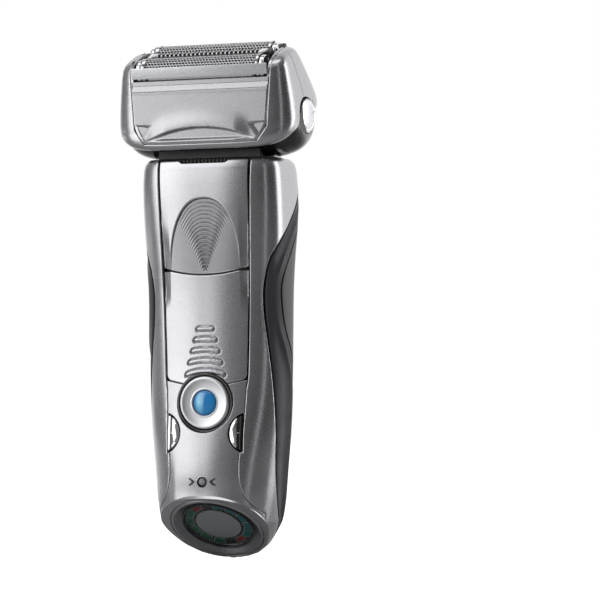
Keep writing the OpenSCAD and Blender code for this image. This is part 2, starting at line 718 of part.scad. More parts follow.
module head_frame() color([0.66, 0.66, 0.68]) on_head() difference() {
    intersection() {
        rotate([90, 0, 0]) linear_extrude(far, center = true) frame_outline();
        across(far) frame_side();
    }
    // seat of the cassette between the arms
    rotate([90, 0, 0]) linear_extrude(far, center = true) polygon([[-bezel_x - 0.4, frame_top + 1],
        [bezel_x + 0.4, frame_top + 1], [bezel_x - 1.2, 2], [bezel_x - 4.6, sill_z], [4.6 - bezel_x,
            sill_z], [1.2 - bezel_x, 2]]);
    // room for the pan
    across(2 * bezel_x + 0.4) intersection() {
        circle(r = belly_r + 1 + clear);
        translate([-20, -20]) square([40, 20 + deck_z + clear]);
    }
    both_sides() across_at(bezel_x - 3, 20) cheek_shape(0.1);
    both_sides() across_at(bezel_x - 3, 20) intersection() {
        circle(r = belly_r + 1.1);
        translate([-20, -20]) square([40, 20]);
    }
}

module release_button() {
    difference() {
        union() {
            head_rod(release_d, cheek_x - 3, cheek_x + 0.9);
            rotate([0, 90, 0]) rotate_extrude($fn = 72) polygon([[0, cheek_x],
                [release_d / 2 - 0.3, cheek_x], [release_d / 2 - 0.3, cheek_x + 1], [release_d / 4,
                    cheek_x + 1.5],
                [0, cheek_x + 1.6]]);
            translate([0, 0, latch_z]) head_rod(2.2, bezel_x + 0.2, cheek_x - 2.9);
        }
    }
}
module release_right() color([0.72, 0.73, 0.75]) on_head() release_button();
module release_left() color([0.72, 0.73, 0.75]) on_head() mirror([1, 0, 0]) release_button();

// ---------- Motor in the head ----------

module motor_core() color([0.40, 0.41, 0.43]) on_head() difference() {
    block([-10, -5, -9.6], [10, 5, -1.4]);
    for (side = [-1, 1]) translate([side * 4.9, 0, 0]) block([-1.7, -6, -7], [1.7, 6, 0]);
}
module motor_coil() color([0.72, 0.38, 0.16]) on_head() difference() {
    block([-6.3, -6.8, -6.8], [6.3, 6.8, -1.8]);
    block([-3.3, -5.1, -8], [3.3, 5.1, 0]);
}
drive_y = foil_pitch / 2;
drive_d = 2.4;
module armature(side) {
    block([-11, min(side, side * 7.6), -0.9], [11, max(side, side * 7.6), 1.4]);
    translate([0, side * drive_y, 1.3]) cylinder(d = drive_d, h = drive_top - 1.3);
}
drive_top = 15.2;
module front_armature() color([0.50, 0.51, 0.54]) on_head() armature(-1);
module rear_armature() color([0.50, 0.51, 0.54]) on_head() armature(1);
module drive_slots(low, high, extra = 0) {
    reach = drive_d / 2 + clear + extra;
    for (side = [-1, 1]) translate([0, side * drive_y, 0])
        block([-stroke - reach, -reach, low], [stroke + reach, reach, high]);
}
module motor_deck() color([0.12, 0.12, 0.13]) on_head() difference() {
    union() {
        block([-well_x - 1, -11.2, deck_z], [well_x + 1, 11.2, deck_z + 1.2]);
        for (side = [-1, 1]) block([-4, side * drive_y - 3, deck_z + 1.1], [4, side * drive_y + 3,
            deck_z + 3]);
    }
    drive_slots(deck_z - 1, deck_z + 5);
}

// ---------- Cassette ----------

plate_top = 16.7;
plate_low = -1.8;
shelf_z = 12.2;
module cassette_outline() {
    edge = [[bezel_x - 0.3, plate_top], [bezel_x - 1.6, 2.6], [bezel_x - 5.2, plate_low]];
    polygon(concat(edge, flip(edge)));
}
module cassette_side(gap, top) {
    polygon([[-plate_at(top) + gap, top], [-plate_at(plate_low) + gap, plate_low],
        [plate_at(plate_low) - gap, plate_low],
        [plate_at(top) - gap, top]]);
}
module cassette_body() color([0.55, 0.55, 0.57]) on_head() difference() {
    intersection() {
        rotate([90, 0, 0]) linear_extrude(far, center = true) cassette_outline();
        across(far) cassette_side(0, plate_top);
    }
    // hollow underneath, open at its ends over the pan
    across(2 * (bezel_x - 2.6)) cassette_hollow(shelf_z - 1);
    across(far) cassette_hollow(deck_z + 0.5);
    // tray for the foil frames
    intersection() {
        across(2 * tray_x) cassette_side(0.65, plate_top + tiny);
        block([-far, -far, shelf_z], [far, far, far]);
    }
    drive_slots(0, far, clear);
    block([-2, -1.2, 0], [2, 1.2, far]);
}
module cassette_hollow(top) {
    low = plate_low - 1;
    polygon([[cassette_wall - plate_at(top), top], [cassette_wall - plate_at(low), low],
        [plate_at(low) - cassette_wall, low], [plate_at(top) - cassette_wall, top]]);
}
tray_x = bezel_x - 1.7;

module cassette_trim(side) scale([1, side, 1]) intersection() {
    across(2 * (bezel_x - 0.5)) polygon([[plate_at(plate_top) + 0.5, plate_top + 0.7],
        [plate_at(plate_top) - 0.15, plate_top + 3.7], [plate_at(plate_top) - 0.75, plate_top + 3.7],
        [plate_at(plate_top) - 0.65, plate_top], [plate_at(plate_top) - 0.05, plate_top]]);
    block([-far, 0, 0], [far, far, far]);
}
module trim_front() color([0.82, 0.83, 0.85]) on_head() cassette_trim(-1);
module trim_rear() color([0.82, 0.83, 0.85]) on_head() cassette_trim(1);

foil_z = 22 - foil_r;
foil_half = bezel_x - 3.5;
skirt_z = shelf_z + float_travel + 0.6;
module arch_profile(r, foot) {
    translate([0, foil_z]) circle(r = r);
    translate([-r, foot]) square([2 * r, foil_z - foot]);
}
module foil(side) translate([0, side * foil_pitch / 2, 0]) across(2 * foil_half) difference() {
    arch_profile(foil_r, skirt_z);
    arch_profile(foil_r - foil_t, skirt_z - 1);
}
module foil_front() color([0.80, 0.82, 0.84]) on_head() foil(-1);
module foil_rear() color([0.80, 0.82, 0.84]) on_head() foil(1);

// End posts and lower bars that stretch a foil
post_w = 1.5;
module foil_frame(side) translate([0, side * foil_pitch / 2, 0]) {
    both_sides() across_at(foil_half, post_w) union() {
        translate([0, foil_z - 0.6]) circle(r = foil_r - 0.3);
        translate([0.3 - foil_r, skirt_z - 0.3]) square([2 * foil_r - 0.6, foil_z - skirt_z]);
    }
    for (y = [-1, 1]) translate([0, y * (foil_r + 0.2), 0])
        block([-foil_half - post_w, -0.2, skirt_z - 0.3], [foil_half + post_w, 0.2, skirt_z + 1.2]);
}
module foil_frame_front() color([0.70, 0.71, 0.74]) on_head() foil_frame(-1);
module foil_frame_rear() color([0.70, 0.71, 0.74]) on_head() foil_frame(1);

blade_r = foil_r - foil_t - 0.3;
blade_pitch = (2 * foil_half - 2 * stroke - 2.4) / (blade_count - 1);
carrier_low = skirt_z + 0.2;
module cutter(side) translate([0, side * foil_pitch / 2, 0]) difference() {
    union() {
        for (i = [0 : blade_count - 1]) translate([(i - (blade_count - 1) / 2) * blade_pitch, 0, 0])
            across(blade_t) difference() {
                arch_profile(blade_r, carrier_low + 1);
                translate([0, foil_z + 0.4]) circle(r = blade_r - 1.2);
            }
        block([-foil_half + stroke + 0.6, -blade_r + 0.2, carrier_low],
            [foil_half - stroke - 0.6, blade_r - 0.2, carrier_low + 2.2]);
    }
    translate([0, 0, carrier_low - 1]) cylinder(d = drive_d + 2 * slip,
        h = drive_top + float_travel + 0.3 - carrier_low + 1);
}
module cutter_front() color([0.62, 0.63, 0.66]) on_head() cutter(-1);
module cutter_rear() color([0.62, 0.63, 0.66]) on_head() cutter(1);

guard_y = 1.7;
guard_top = 21.3;
guard_slots = 25;
module middle_guard() color([0.74, 0.75, 0.78]) on_head() difference() {
    union() {
        across(2 * foil_half) difference() {
            guard_profile(0);
            guard_profile(0.5);
        }
        both_sides() across_at(foil_half, post_w) guard_profile(-0.2);
    }
    pitch = (2 * foil_half - 3) / guard_slots;
    for (i = [0 : guard_slots - 1]) translate([(i - (guard_slots - 1) / 2) * pitch, 0, 0])
        block([-pitch * 0.25, -far, guard_top - 2.2], [pitch * 0.25, far, far]);
}
module guard_profile(inset) {
    polygon([[inset - guard_y, skirt_z - (inset > 0 ? 1 : 0)], [inset - guard_y, guard_top - 0.8],
        [inset - guard_y + 0.8, guard_top - inset], [guard_y - 0.8 - inset, guard_top - inset],
        [guard_y - inset, guard_top - 0.8], [guard_y - inset, skirt_z - (inset > 0 ? 1 : 0)]]);
}
module middle_cutter() color([0.62, 0.63, 0.66]) on_head() {
    pitch = (2 * foil_half - 3) / guard_slots;
    rotate([90, 0, 0]) linear_extrude(1.2, center = true) union() {
        translate([-foil_half + stroke + 1, skirt_z]) square([2 * (foil_half - stroke - 1),
            guard_top - 3 - skirt_z]);
        for (i = [1 : guard_slots - 2]) translate([(i - (guard_slots - 1) / 2) * pitch,
            guard_top - 3 - tiny])
            translate([-0.22 * pitch, 0]) square([0.44 * pitch, 2.1]);
    }
}

// ---------- The part, or one of its pieces ----------

front_shell();
back_shell();
grip_left();
grip_right();
control_panel();
power_button();
power_lens();
minus_key();
plus_key();
reset_button();
display_bezel();
display_window();
display_panel();
display_disc();
charge_segments();
clean_segments();
service_segments();
trimmer_cover();
trimmer_carrier();
trimmer_slide();
trimmer_comb();
trimmer_cutter();
trimmer_pin();
chassis();
battery();
circuit_board();
power_socket();
socket_pins();
station_contacts();
neck_screws();
head_lock();
neck();
swivel_posts();
swivel_pins();
head_pan();
head_frame();
motor_deck();
motor_core();
motor_coil();
front_armature();
rear_armature();
release_left();
release_right();
cassette_body();
trim_front();
trim_rear();
foil_frame_front();
foil_frame_rear();
foil_front();
foil_rear();
cutter_front();
cutter_rear();
middle_guard();
middle_cutter();
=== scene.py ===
"""Foil shaver: fine shapes and finishes, built round the packed frame.

Lengths in the property groups are metres. The shape functions below work in millimetres.
"""

import functools
import math

import bmesh
import bpy
import numpy as np
from mathutils import Matrix, Vector


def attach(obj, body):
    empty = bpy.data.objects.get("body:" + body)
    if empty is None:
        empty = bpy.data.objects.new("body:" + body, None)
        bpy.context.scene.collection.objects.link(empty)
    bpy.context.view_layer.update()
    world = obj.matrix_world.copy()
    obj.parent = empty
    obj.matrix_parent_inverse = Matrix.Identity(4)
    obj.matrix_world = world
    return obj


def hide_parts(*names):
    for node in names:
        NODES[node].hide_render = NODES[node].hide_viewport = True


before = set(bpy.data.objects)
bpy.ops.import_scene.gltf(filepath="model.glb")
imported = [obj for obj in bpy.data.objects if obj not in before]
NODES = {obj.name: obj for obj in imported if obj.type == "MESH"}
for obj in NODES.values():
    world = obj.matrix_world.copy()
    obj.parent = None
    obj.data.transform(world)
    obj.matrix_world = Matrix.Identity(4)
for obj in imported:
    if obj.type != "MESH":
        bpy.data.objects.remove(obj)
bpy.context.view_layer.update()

bl_info = {
    "name": "Foil Shaver",
    "version": (1, 0, 0),
    "blender": (4, 5, 0),
    "location": "View3D > Sidebar > Shaver",
    "description": "Builds a hand-held foil shaver round its packed frame",
    "category": "Add Mesh",
}


def length(name, description, default, low=0.0001, high=0.5):
    return bpy.props.FloatProperty(
        name=name, description=description, default=default, min=low, max=high, precision=5,
        unit="LENGTH")


def angle(name, description, degrees):
    return bpy.props.FloatProperty(
        name=name, description=description, default=math.radians(degrees), subtype="ANGLE",
        unit="ROTATION")


def amount(name, description, default, low=0.0, high=100.0):
    return bpy.props.FloatProperty(
        name=name, description=description, default=default, min=low, max=high)


def count(name, description, default):
    return bpy.props.IntProperty(name=name, description=description, default=default, min=1, max=200)


def colour(name, description, default):
    return bpy.props.FloatVectorProperty(
        name=name, description=description, default=default, min=0.0, max=1.0, size=3, subtype="COLOR")


class HandleSizes(bpy.types.PropertyGroup):
    """Sizes of the handle's outer parts."""
    height: length("Height", "Height of the handle up to the rim under the head", 0.126)
    width: length("Width", "Greatest width of the handle", 0.0474)
    front_depth: length("Front Depth", "Depth in front of the axis, at the shoulder", 0.0145)
    back_depth: length("Back Depth", "Depth behind the axis, at the palm swell", 0.017)
    wall: length("Wall", "Thickness of the moulded parts", 0.0014)
    joint: length("Joint", "Width of the dark lines between the parts", 0.00045)
    edge: length("Edge", "Radius of the parts' rounded edges", 0.00035)


class ControlSizes(bpy.types.PropertyGroup):
    """Sizes of the buttons on the front of the handle."""
    power_height: length("Power Height", "Height of the power button's centre", 0.0493)
    power_diameter: length("Power Diameter", "Diameter of the power button", 0.017)
    ring_diameter: length("Ring Diameter", "Diameter of the dark ring round the power button", 0.0188)
    lens_diameter: length("Lens Diameter", "Diameter of the blue lens", 0.0078)
    key_offset: length("Key Offset", "Distance of each speed key from the middle", 0.0104)
    key_width: length("Key Width", "Width of each speed key", 0.0042)
    key_height: length("Key Height", "Height of each speed key", 0.0116)
    key_drop: length("Key Drop", "Distance of the speed keys below the power button", 0.0094)
    reset_diameter: length("Reset Diameter", "Diameter of the reset button", 0.0027)
    reset_drop: length("Reset Drop", "Distance of the reset button below the power button", 0.0246)


class DisplaySizes(bpy.types.PropertyGroup):
    """Sizes of the round display in the lower end."""
    window: length("Window", "Diameter of the display's window", 0.0234)
    bezel: length("Bezel", "Diameter of the bezel", 0.0300)
    lean: angle("Lean", "Lean of the end face from the vertical", 53)
    disc: length("Disc", "Diameter of the bare disc in the middle", 0.0146)
    bar_inner: length("Bar Inner", "Inner radius of the ring of display bars", 0.0082)
    bar_outer: length("Bar Outer", "Outer radius of the ring of display bars", 0.0108)


class TrimmerSizes(bpy.types.PropertyGroup):
    """Sizes of the trimmer's cover and thumb slide."""
    cover_width: length("Cover Width", "Width of the cover at its lower end", 0.0284)
    joint_height: length("Joint Height", "Height of the joint between cover and slide", 0.0894)
    joint_radius: length("Joint Radius", "Radius of that joint's arc", 0.049)
    foot_rise: length("Foot Rise", "Height of the slide's foot above the power button", 0.0062)
    arch_half: length("Arch Half Width", "Half width of the thumb arch", 0.0117)
    arch_height: length("Arch Height", "Height of the thumb arch over the joint", 0.0235)
    ripple_pitch: length("Ripple Pitch", "Distance between the ripples", 0.00122)
    ripple_depth: length("Ripple Depth", "Depth of the ripples", 0.00032, 0.0)
    ridges: count("Ridges", "Number of thumb ridges on the slide", 5)
    ridge_pitch: length("Ridge Pitch", "Distance between the thumb ridges", 0.00328)


class HeadSizes(bpy.types.PropertyGroup):
    """Sizes of the swivelling head and its cassette."""
    width: length("Width", "Width over the side arms", 0.060)
    lean: angle("Lean", "Forward lean of the head", 25)
    swivel_height: length("Swivel Height", "Height of the swivel axis", 0.140)
    swivel_depth: length("Swivel Depth", "How far the swivel axis lies in front of the handle's axis", 0.0008)
    foil_pitch: length("Foil Pitch", "Distance between the two foils", 0.0118)
    foil_radius: length("Foil Radius", "Radius of each foil", 0.0033)
    foil_half: length("Foil Half Length", "Half length of each foil", 0.020)
    hole_pitch: length("Hole Pitch", "Distance between the holes of the foil", 0.00105)
    release_diameter: length("Release Diameter", "Diameter of the release buttons", 0.0114)


class FinishColours(bpy.types.PropertyGroup):
    """Colours of the finishes."""
    silver: colour("Silver", "Satin paint of the handle and the head", (0.50, 0.50, 0.52))
    dark_silver: colour("Dark Silver", "Paint of the bezel and the cassette", (0.43, 0.43, 0.45))
    pale_silver: colour("Pale Silver", "Foil surround", (0.86, 0.87, 0.89))
    key_silver: colour("Key Silver", "Satin metal of the round buttons", (0.72, 0.73, 0.75))
    chrome: colour("Chrome", "Plated trim", (0.82, 0.82, 0.84))
    black: colour("Black", "Black plastic", (0.020, 0.020, 0.022))
    rubber: colour("Rubber", "Soft grip", (0.058, 0.058, 0.070))
    lens: colour("Lens", "Lens of the power button", (0.01, 0.22, 0.55))
    teal: colour("Teal", "Right-hand display bars", (0.008, 0.13, 0.15))
    green: colour("Green", "Left-hand display bars", (0.008, 0.11, 0.05))
    red: colour("Red", "Top and bottom display bars", (0.26, 0.02, 0.03))


class StageSizes(bpy.types.PropertyGroup):
    """Camera, lamps and background."""
    azimuth: angle("Azimuth", "How far the camera stands round to the right", 22.5)
    distance: length("Distance", "Distance of the camera from the handle's axis", 1.000, high=5)
    height: length("Height", "Height of the camera", 0.0468, high=5)
    pan: angle("Pan", "Turn of the camera to the right", 1.44)
    tilt: angle("Tilt", "Turn of the camera downwards", -2.0)
    roll: angle("Roll", "Roll of the camera", 0.25)
    lens: amount("Lens", "Focal length in millimetres", 189.7, 20, 300)
    key_power: amount("Key Lamp", "Power of the large lamp at the left, in watts", 4.2)
    side_power: amount("Side Lamp", "Power of the tall lamp at the right, in watts", 1.3)
    strip_power: amount("Strip Lamp", "Power of the narrow lamp right of the camera, in watts", 0.18)
    top_power: amount("Top Lamp", "Power of the lamp overhead, in watts", 2.0)
    room: amount("Room", "Brightness of the room round the stage", 0.13)


# ---------- Curves and forms of the shaver, in millimetres ----------

# Rows up the handle: share of its height, then of half width, front depth and back depth, and
# squareness
FORM = (
    (0, 0.05, 1.08, 0.96, 2.2), (0.006, 0.27, 1.085, 0.97, 2.3), (0.015, 0.43, 1.09, 0.975, 2.4),
    (0.036, 0.59, 1.1, 0.99, 2.4),
    (0.065, 0.705, 1.11, 1.005, 2.4), (0.095, 0.783, 1.12, 1.015, 2.4), (0.155, 0.84, 1.13, 1.02, 2.4),
    (0.22, 0.875, 1.1, 1.02, 2.4), (0.3, 0.915, 1.03, 0.99, 2.5), (0.4, 0.95, 0.92, 0.93, 2.6),
    (0.48, 0.965, 0.875, 0.9, 2.7), (0.58, 0.97, 0.872, 0.89, 2.8), (0.67, 0.972, 0.89, 0.905, 2.9),
    (0.75, 0.98, 0.925, 0.95, 3.1), (0.84, 1, 0.965, 1, 3.4), (0.93, 1, 0.995, 0.94, 3.8),
    (0.975, 0.985, 0.985, 0.87, 3.9), (0.992, 0.96, 0.95, 0.82, 3.9), (1, 0.915, 0.88, 0.76, 3.9),
)
# Joint lines seen from the side, as depth and height: silver front to grip, and grip to black back
SEAM = ((9.5, 127), (9.4, 121), (8.8, 116), (5, 111), (0.4, 106.4), (-5.4, 100.6), (-8.8, 95), (-9.7, 87),
        (-9.4, 77), (-8.6, 69), (-7.6, 60), (-6.6, 50), (-5.6, 40), (-4.6, 30), (-2.6, 21), (0.6, 15),
        (5, 9.5), (8.4, 4.6), (9.2, 1), (9.4, -1))
CREST = ((12.6, 127), (12.6, 116), (10.5, 108), (3, 98), (-4, 88), (-4.4, 80), (-2, 72), (4, 64),
         (10, 57), (12.2, 50), (12.6, 30), (12.2, 16), (11.2, 9), (9.9, 4.6), (9.4, 1), (9.4, -1))
# Half width of the control panel at a height
PANEL_EDGE = ((13.5, 60), (13.3, 53), (13, 46), (12.7, 40), (11.9, 34.5), (11.5, 29), (11.9, 24),
              (13.6, 19.5), (17, 15.6), (20, 12), (24, 6))
FOOT_JOINT = 4.6
# Rows up the head's silver frame, above its swivel axis: height, half width, half depth
HEAD_FORM = ((-5, 23.4, 16.2), (-4.4, 26.2, 18.0), (-3.4, 27.9, 18.6), (-1.8, 29.4, 18.6), (1, 30, 17.5),
             (5, 29.8, 15.9), (9, 29.35, 14.2), (12, 28.9, 12.9), (16, 28.3, 11.2), (18.4, 27.7, 10),
             (19.6, 27.1, 8.6), (20.3, 26.2, 6.5), (20.6, 25.2, 3.5))
HEAD_SQUARE = 5.0
# The sizes that the joint lines and the head's rows are drawn for
DRAWN_HEIGHT, DRAWN_POWER, DRAWN_HEAD = 126, 49.3, 60
# A distance that stands for "nowhere near this edge"
AWAY = 5.0
FORWARDS = np.array((0.0, -1.0, 0.0))
# How far behind the handle's axis the power socket lies
SOCKET_BACK = 12.4
FOIL_TOP = 22


def mm(value):
    return value * 1000


def blend3(a, b, c, d, t):
    return b + 0.5 * t * (c - a + t * (2 * a - 5 * b + 4 * c - d + t * (3 * (b - c) + d - a)))


def rows_at(table, s):
    """The table's other columns, run smoothly through the values s of its first one."""
    table = np.asarray(table, float)
    s = np.clip(np.asarray(s, float), table[0, 0], table[-1, 0])
    i = np.clip(np.searchsorted(table[:, 0], s, side="left") - 1, 0, len(table) - 2)
    t = ((s - table[i, 0]) / (table[i + 1, 0] - table[i, 0]))[..., None]
    a, b, c, d = (table[np.clip(i + k, 0, len(table) - 1), 1:] for k in (-1, 0, 1, 2))
    return blend3(a, b, c, d, t)


def line_at(line, z):
    """Side position of a joint line at the heights z, and how its slope shortens distances across."""
    table = np.array([(p[1], p[0]) for p in reversed(line)], float)
    heights = np.linspace(table[0, 0], table[-1, 0], 400)
    side = rows_at(table, heights)[:, 0]
    slope = np.gradient(side, heights)
    return np.interp(z, heights, side), 1 / np.sqrt(1 + np.interp(z, heights, slope) ** 2)


def smoothstep(x, low, high):
    t = np.clip((x - low) / (high - low), 0, 1)
    return t * t * (3 - 2 * t)


class HandleShape:
    """The handle's skin and the joint lines on it."""

    def __init__(self, scene):
        sizes, controls = scene.shaver_handle, scene.shaver_controls
        trimmer, display = scene.shaver_trimmer, scene.shaver_display
        self.height, self.half = mm(sizes.height), mm(sizes.width) / 2
        self.front, self.back = mm(sizes.front_depth), mm(sizes.back_depth)
        self.wall, self.joint, self.edge = mm(sizes.wall), mm(sizes.joint), mm(sizes.edge)
        self.power_z = mm(controls.power_height)
        self.key_z = self.power_z - mm(controls.key_drop)
        self.key_x, self.key_w = mm(controls.key_offset), mm(controls.key_width)
        self.key_h = mm(controls.key_height)
        self.key_bow = (self.key_h ** 2 / 4 + self.key_w ** 2) / (2 * self.key_w)
        self.reset_z = self.power_z - mm(controls.reset_drop)
        self.cover_z, self.cover_half = mm(trimmer.joint_height), mm(trimmer.cover_width) / 2
        self.arc_r = mm(trimmer.joint_radius)
        self.slide_low = self.power_z + mm(trimmer.foot_rise)
        self.ring_r = mm(controls.ring_diameter) / 2
        self.bezel_r = mm(display.bezel) / 2
        self.dial_centre = np.array((0.0, -3.4, 9.7))
        turn = math.pi / 2 + display.lean
        self.dial_normal = np.array((0.0, -math.sin(turn), math.cos(turn)))
        self.dial_up = np.array((0.0, math.cos(turn), math.sin(turn)))

    def rows(self, z):
        rows = rows_at(FORM, z / self.height)
        return (rows[..., 0] * self.half, rows[..., 1] * self.front, rows[..., 2] * self.back,
                rows[..., 3])

    def around(self, turn, t):
        """A point of the skin at an angle. Past the top or the foot, t runs inwards over the end."""
        z = np.clip(t, 0, self.height)
        half, front, back, power = self.rows(z)
        c, s = np.cos(turn), np.sin(turn)
        depth = np.where(s < 0, front, back)
        r = (np.abs(c / half) ** power + np.abs(s / depth) ** power) ** (-1 / power)
        r = r * (1 - np.clip(np.maximum(t - self.height, -t), 0, 19) / 20)
        return np.stack((r * c, r * s, z), -1)

    def face(self, x, z):
        """A point of the front of the skin."""
        half, front, _, power = self.rows(z)
        y = -front * (1 - np.clip(np.abs(x / half), 0, 0.999) ** power) ** (1 / power)
        return np.stack((x, y, z), -1)

    def before(self, line, p):
        """Distance in front of a joint line that is drawn in the side view."""
        side, short = line_at(line, p[:, 2] * DRAWN_HEIGHT / self.height)
        return (side - p[:, 1]) * short

    def front_zone(self, p):
        return np.maximum(self.before(SEAM, p), np.minimum(self.before(CREST, p), FOOT_JOINT - p[:, 2]))

    def strip_half(self, z):
        return self.cover_half + 0.35 - 0.9 * (self.cover_z - z) / 36

    def front_half(self, z):
        """Half width of everything let into the silver front: cover, slide and control panel."""
        panel, _ = line_at(PANEL_EDGE, z * DRAWN_POWER / self.power_z)
        share = smoothstep(z, self.slide_low - 2, self.slide_low + 3)
        return share * self.strip_half(z) + (1 - share) * panel

    def inside_front(self, p, gap):
        step = 0.25
        slope = (self.front_half(p[:, 2] + step) - self.front_half(p[:, 2] - step)) / (2 * step)
        return (self.front_half(p[:, 2]) - np.abs(p[:, 0])) / np.sqrt(1 + slope ** 2) - gap

    def over_dial(self, p):
        """Depth behind the tilted end face."""
        return -(p - self.dial_centre) @ self.dial_normal

    def dial_radius(self, p):
        q = p - self.dial_centre
        return np.hypot(q[:, 0], q @ self.dial_up)

    def on_dial(self, x, y, lift=0.0):
        x, y = np.asarray(x, float), np.asarray(y, float)
        lift = np.asarray(lift, float)
        return (self.dial_centre + x[..., None] * np.array((1.0, 0, 0)) + y[..., None] * self.dial_up
                + lift[..., None] * self.dial_normal)

    def key_outside(self, p, grow=0.0):
        """Distance outside the rounded D of a speed key."""
        edge = self.key_x + self.key_w / 2
        bow, x = self.key_bow, np.abs(p[:, 0])
        rise = np.hypot(x - (edge - self.key_w + bow), p[:, 2] - self.key_z) - bow
        return np.maximum(rise, x - edge) - grow

    def power_outside(self, p, radius):
        return np.hypot(p[:, 0], p[:, 2] - self.power_z) - radius

    def slide_foot(self, p):
        """Height above the lower edge of the slide, which dips to the power button's ring."""
        return p[:, 2] - (self.slide_low - 1.8 + 0.21 * np.abs(p[:, 0]))

    def arc(self, p):
        """Height above the joint between cover and slide."""
        return self.arc_r - np.hypot(p[:, 0], p[:, 2] - self.cover_z - self.arc_r)


class HeadShape:
    """The swivelling head, drawn upright about its swivel axis."""

    def __init__(self, scene):
        sizes = scene.shaver_head
        self.lean = sizes.lean
        self.axis = np.array((0.0, -mm(sizes.swivel_depth), mm(sizes.swivel_height)))
        self.scale = mm(sizes.width) / DRAWN_HEAD
        self.pitch, self.foil_r = mm(sizes.foil_pitch), mm(sizes.foil_radius)
        self.foil_half = mm(sizes.foil_half)
        self.hole_pitch = mm(sizes.hole_pitch)
        self.release_r = mm(sizes.release_diameter) / 2
        self.foil_z = FOIL_TOP - self.foil_r
        self.bezel_x, self.side = 23.5 * self.scale, 29.5 * self.scale
        self.plate_top, self.plate_low = 16.7, -1.8

    def lean_out(self, p):
        """From the head's own upright frame to the shaver's."""
        c, s = math.cos(self.lean), math.sin(self.lean)
        x, y, z = p[..., 0], p[..., 1], p[..., 2]
        return np.stack((x, y * c - z * s, y * s + z * c), -1) + self.axis

    def half_at(self, z):
        rows = rows_at(HEAD_FORM, z)
        return rows[..., 0] * self.scale, rows[..., 1]

    def around(self, turn, z):
        half, depth = self.half_at(np.clip(z, HEAD_FORM[0][0], HEAD_FORM[-1][0]))
        c, s = np.cos(turn), np.sin(turn)
        n = HEAD_SQUARE
        r = (np.abs(c / half) ** n + np.abs(s / depth) ** n) ** (-1 / n)
        over = np.maximum(z - HEAD_FORM[-1][0], HEAD_FORM[0][0] - z)
        r = r * (1 - np.clip(over, 0, 14) / 15)
        return np.stack((r * c, r * s, np.clip(z, HEAD_FORM[0][0], HEAD_FORM[-1][0])), -1)

    def plate_at(self, z):
        return 17.9 - (z - self.plate_low) * 0.416

    def seat(self, p):
        """Distance outside the opening that the cassette sits in, seen from the front."""
        x, z = np.abs(p[:, 0]), p[:, 2]
        top, mid, low = ((self.bezel_x + 0.4, 21.4), (self.bezel_x - 1.2, 2.0),
                         (self.bezel_x - 4.6, -2.2))

        def outside(a, b):
            run = np.array((b[0] - a[0], b[1] - a[1]))
            run = run / np.hypot(*run)
            return (x - a[0]) * run[1] - (z - a[1]) * run[0]

        return np.maximum.reduce((outside(mid, top), outside(low, mid), low[1] - z))


# ---------- Meshes ----------


def lattice(us, vs, place):
    """A grid of triangles over a form: its parameters and its faces."""
    u, v = np.meshgrid(us, vs)
    index = np.arange(u.size).reshape(u.shape)
    a, b = index[:-1, :-1].ravel(), index[:-1, 1:].ravel()
    c, d = index[1:, 1:].ravel(), index[1:, :-1].ravel()
    tris = np.concatenate((np.stack((a, b, c), 1), np.stack((a, c, d), 1)))
    return np.stack((u.ravel(), v.ravel()), 1), tris, place


def compact(uv, tris):
    used, tris = np.unique(tris, return_inverse=True)
    return uv[used], tris.reshape(-1, 3)


def cut(sheet, field, level=0.0, keep_all=False):
    """Cuts a sheet's triangles along field == level. The side below it goes, unless told to keep it."""
    uv, tris, place = sheet
    if not len(tris):
        return sheet
    value = field(place(uv[:, 0], uv[:, 1])) - level
    value = np.where(np.abs(value) < 1e-5, 1e-5, value)
    side = value > 0
    n = side[tris].sum(1)
    mixed = tris[(n == 1) | (n == 2)]
    parts = [tris[n == 3]] + ([tris[n == 0]] if keep_all else [])
    if len(mixed):
        s = side[mixed]
        lone = np.argmax(s == (s.sum(1) == 1)[:, None], axis=1)
        rows = np.arange(len(mixed))
        a, b, c = (mixed[rows, (lone + k) % 3] for k in range(3))
        pairs, back = np.unique(np.sort(np.vstack((np.stack((a, b), 1), np.stack((a, c), 1))), 1),
                                axis=0, return_inverse=True)
        back = back.ravel() + len(uv)
        share = value[pairs[:, 0]] / (value[pairs[:, 0]] - value[pairs[:, 1]])
        uv = np.vstack((uv, uv[pairs[:, 0]] + (uv[pairs[:, 1]] - uv[pairs[:, 0]]) * share[:, None]))
        ab, ac = back[:len(mixed)], back[len(mixed):]
        up = side[a]
        tip = np.stack((a, ab, ac), 1)
        rest = np.concatenate((np.stack((ab, b, c), 1), np.stack((ab, c, ac), 1)))
        parts += [tip[up], rest[np.tile(~up, 2)]]
        if keep_all:
            parts += [tip[~up], rest[np.tile(up, 2)]]
    uv, tris = compact(uv, np.concatenate(parts))
    return uv, tris, place


def normals_of(points, tris):
    a, b, c = (points[tris[:, k]] for k in range(3))
    across = np.cross(b - a, c - a)
    total = np.zeros_like(points)
    for k in range(3):
        np.add.at(total, tris[:, k], across)
    return total / np.maximum(np.linalg.norm(total, axis=1), 1e-9)[:, None]


def rim_of(tris):
    """The directed edges that only one triangle uses."""
    edges = np.concatenate((tris[:, (0, 1)], tris[:, (1, 2)], tris[:, (2, 0)]))
    _, first, uses = np.unique(np.sort(edges, 1), axis=0, return_index=True, return_counts=True)
    return edges[first[uses == 1]]


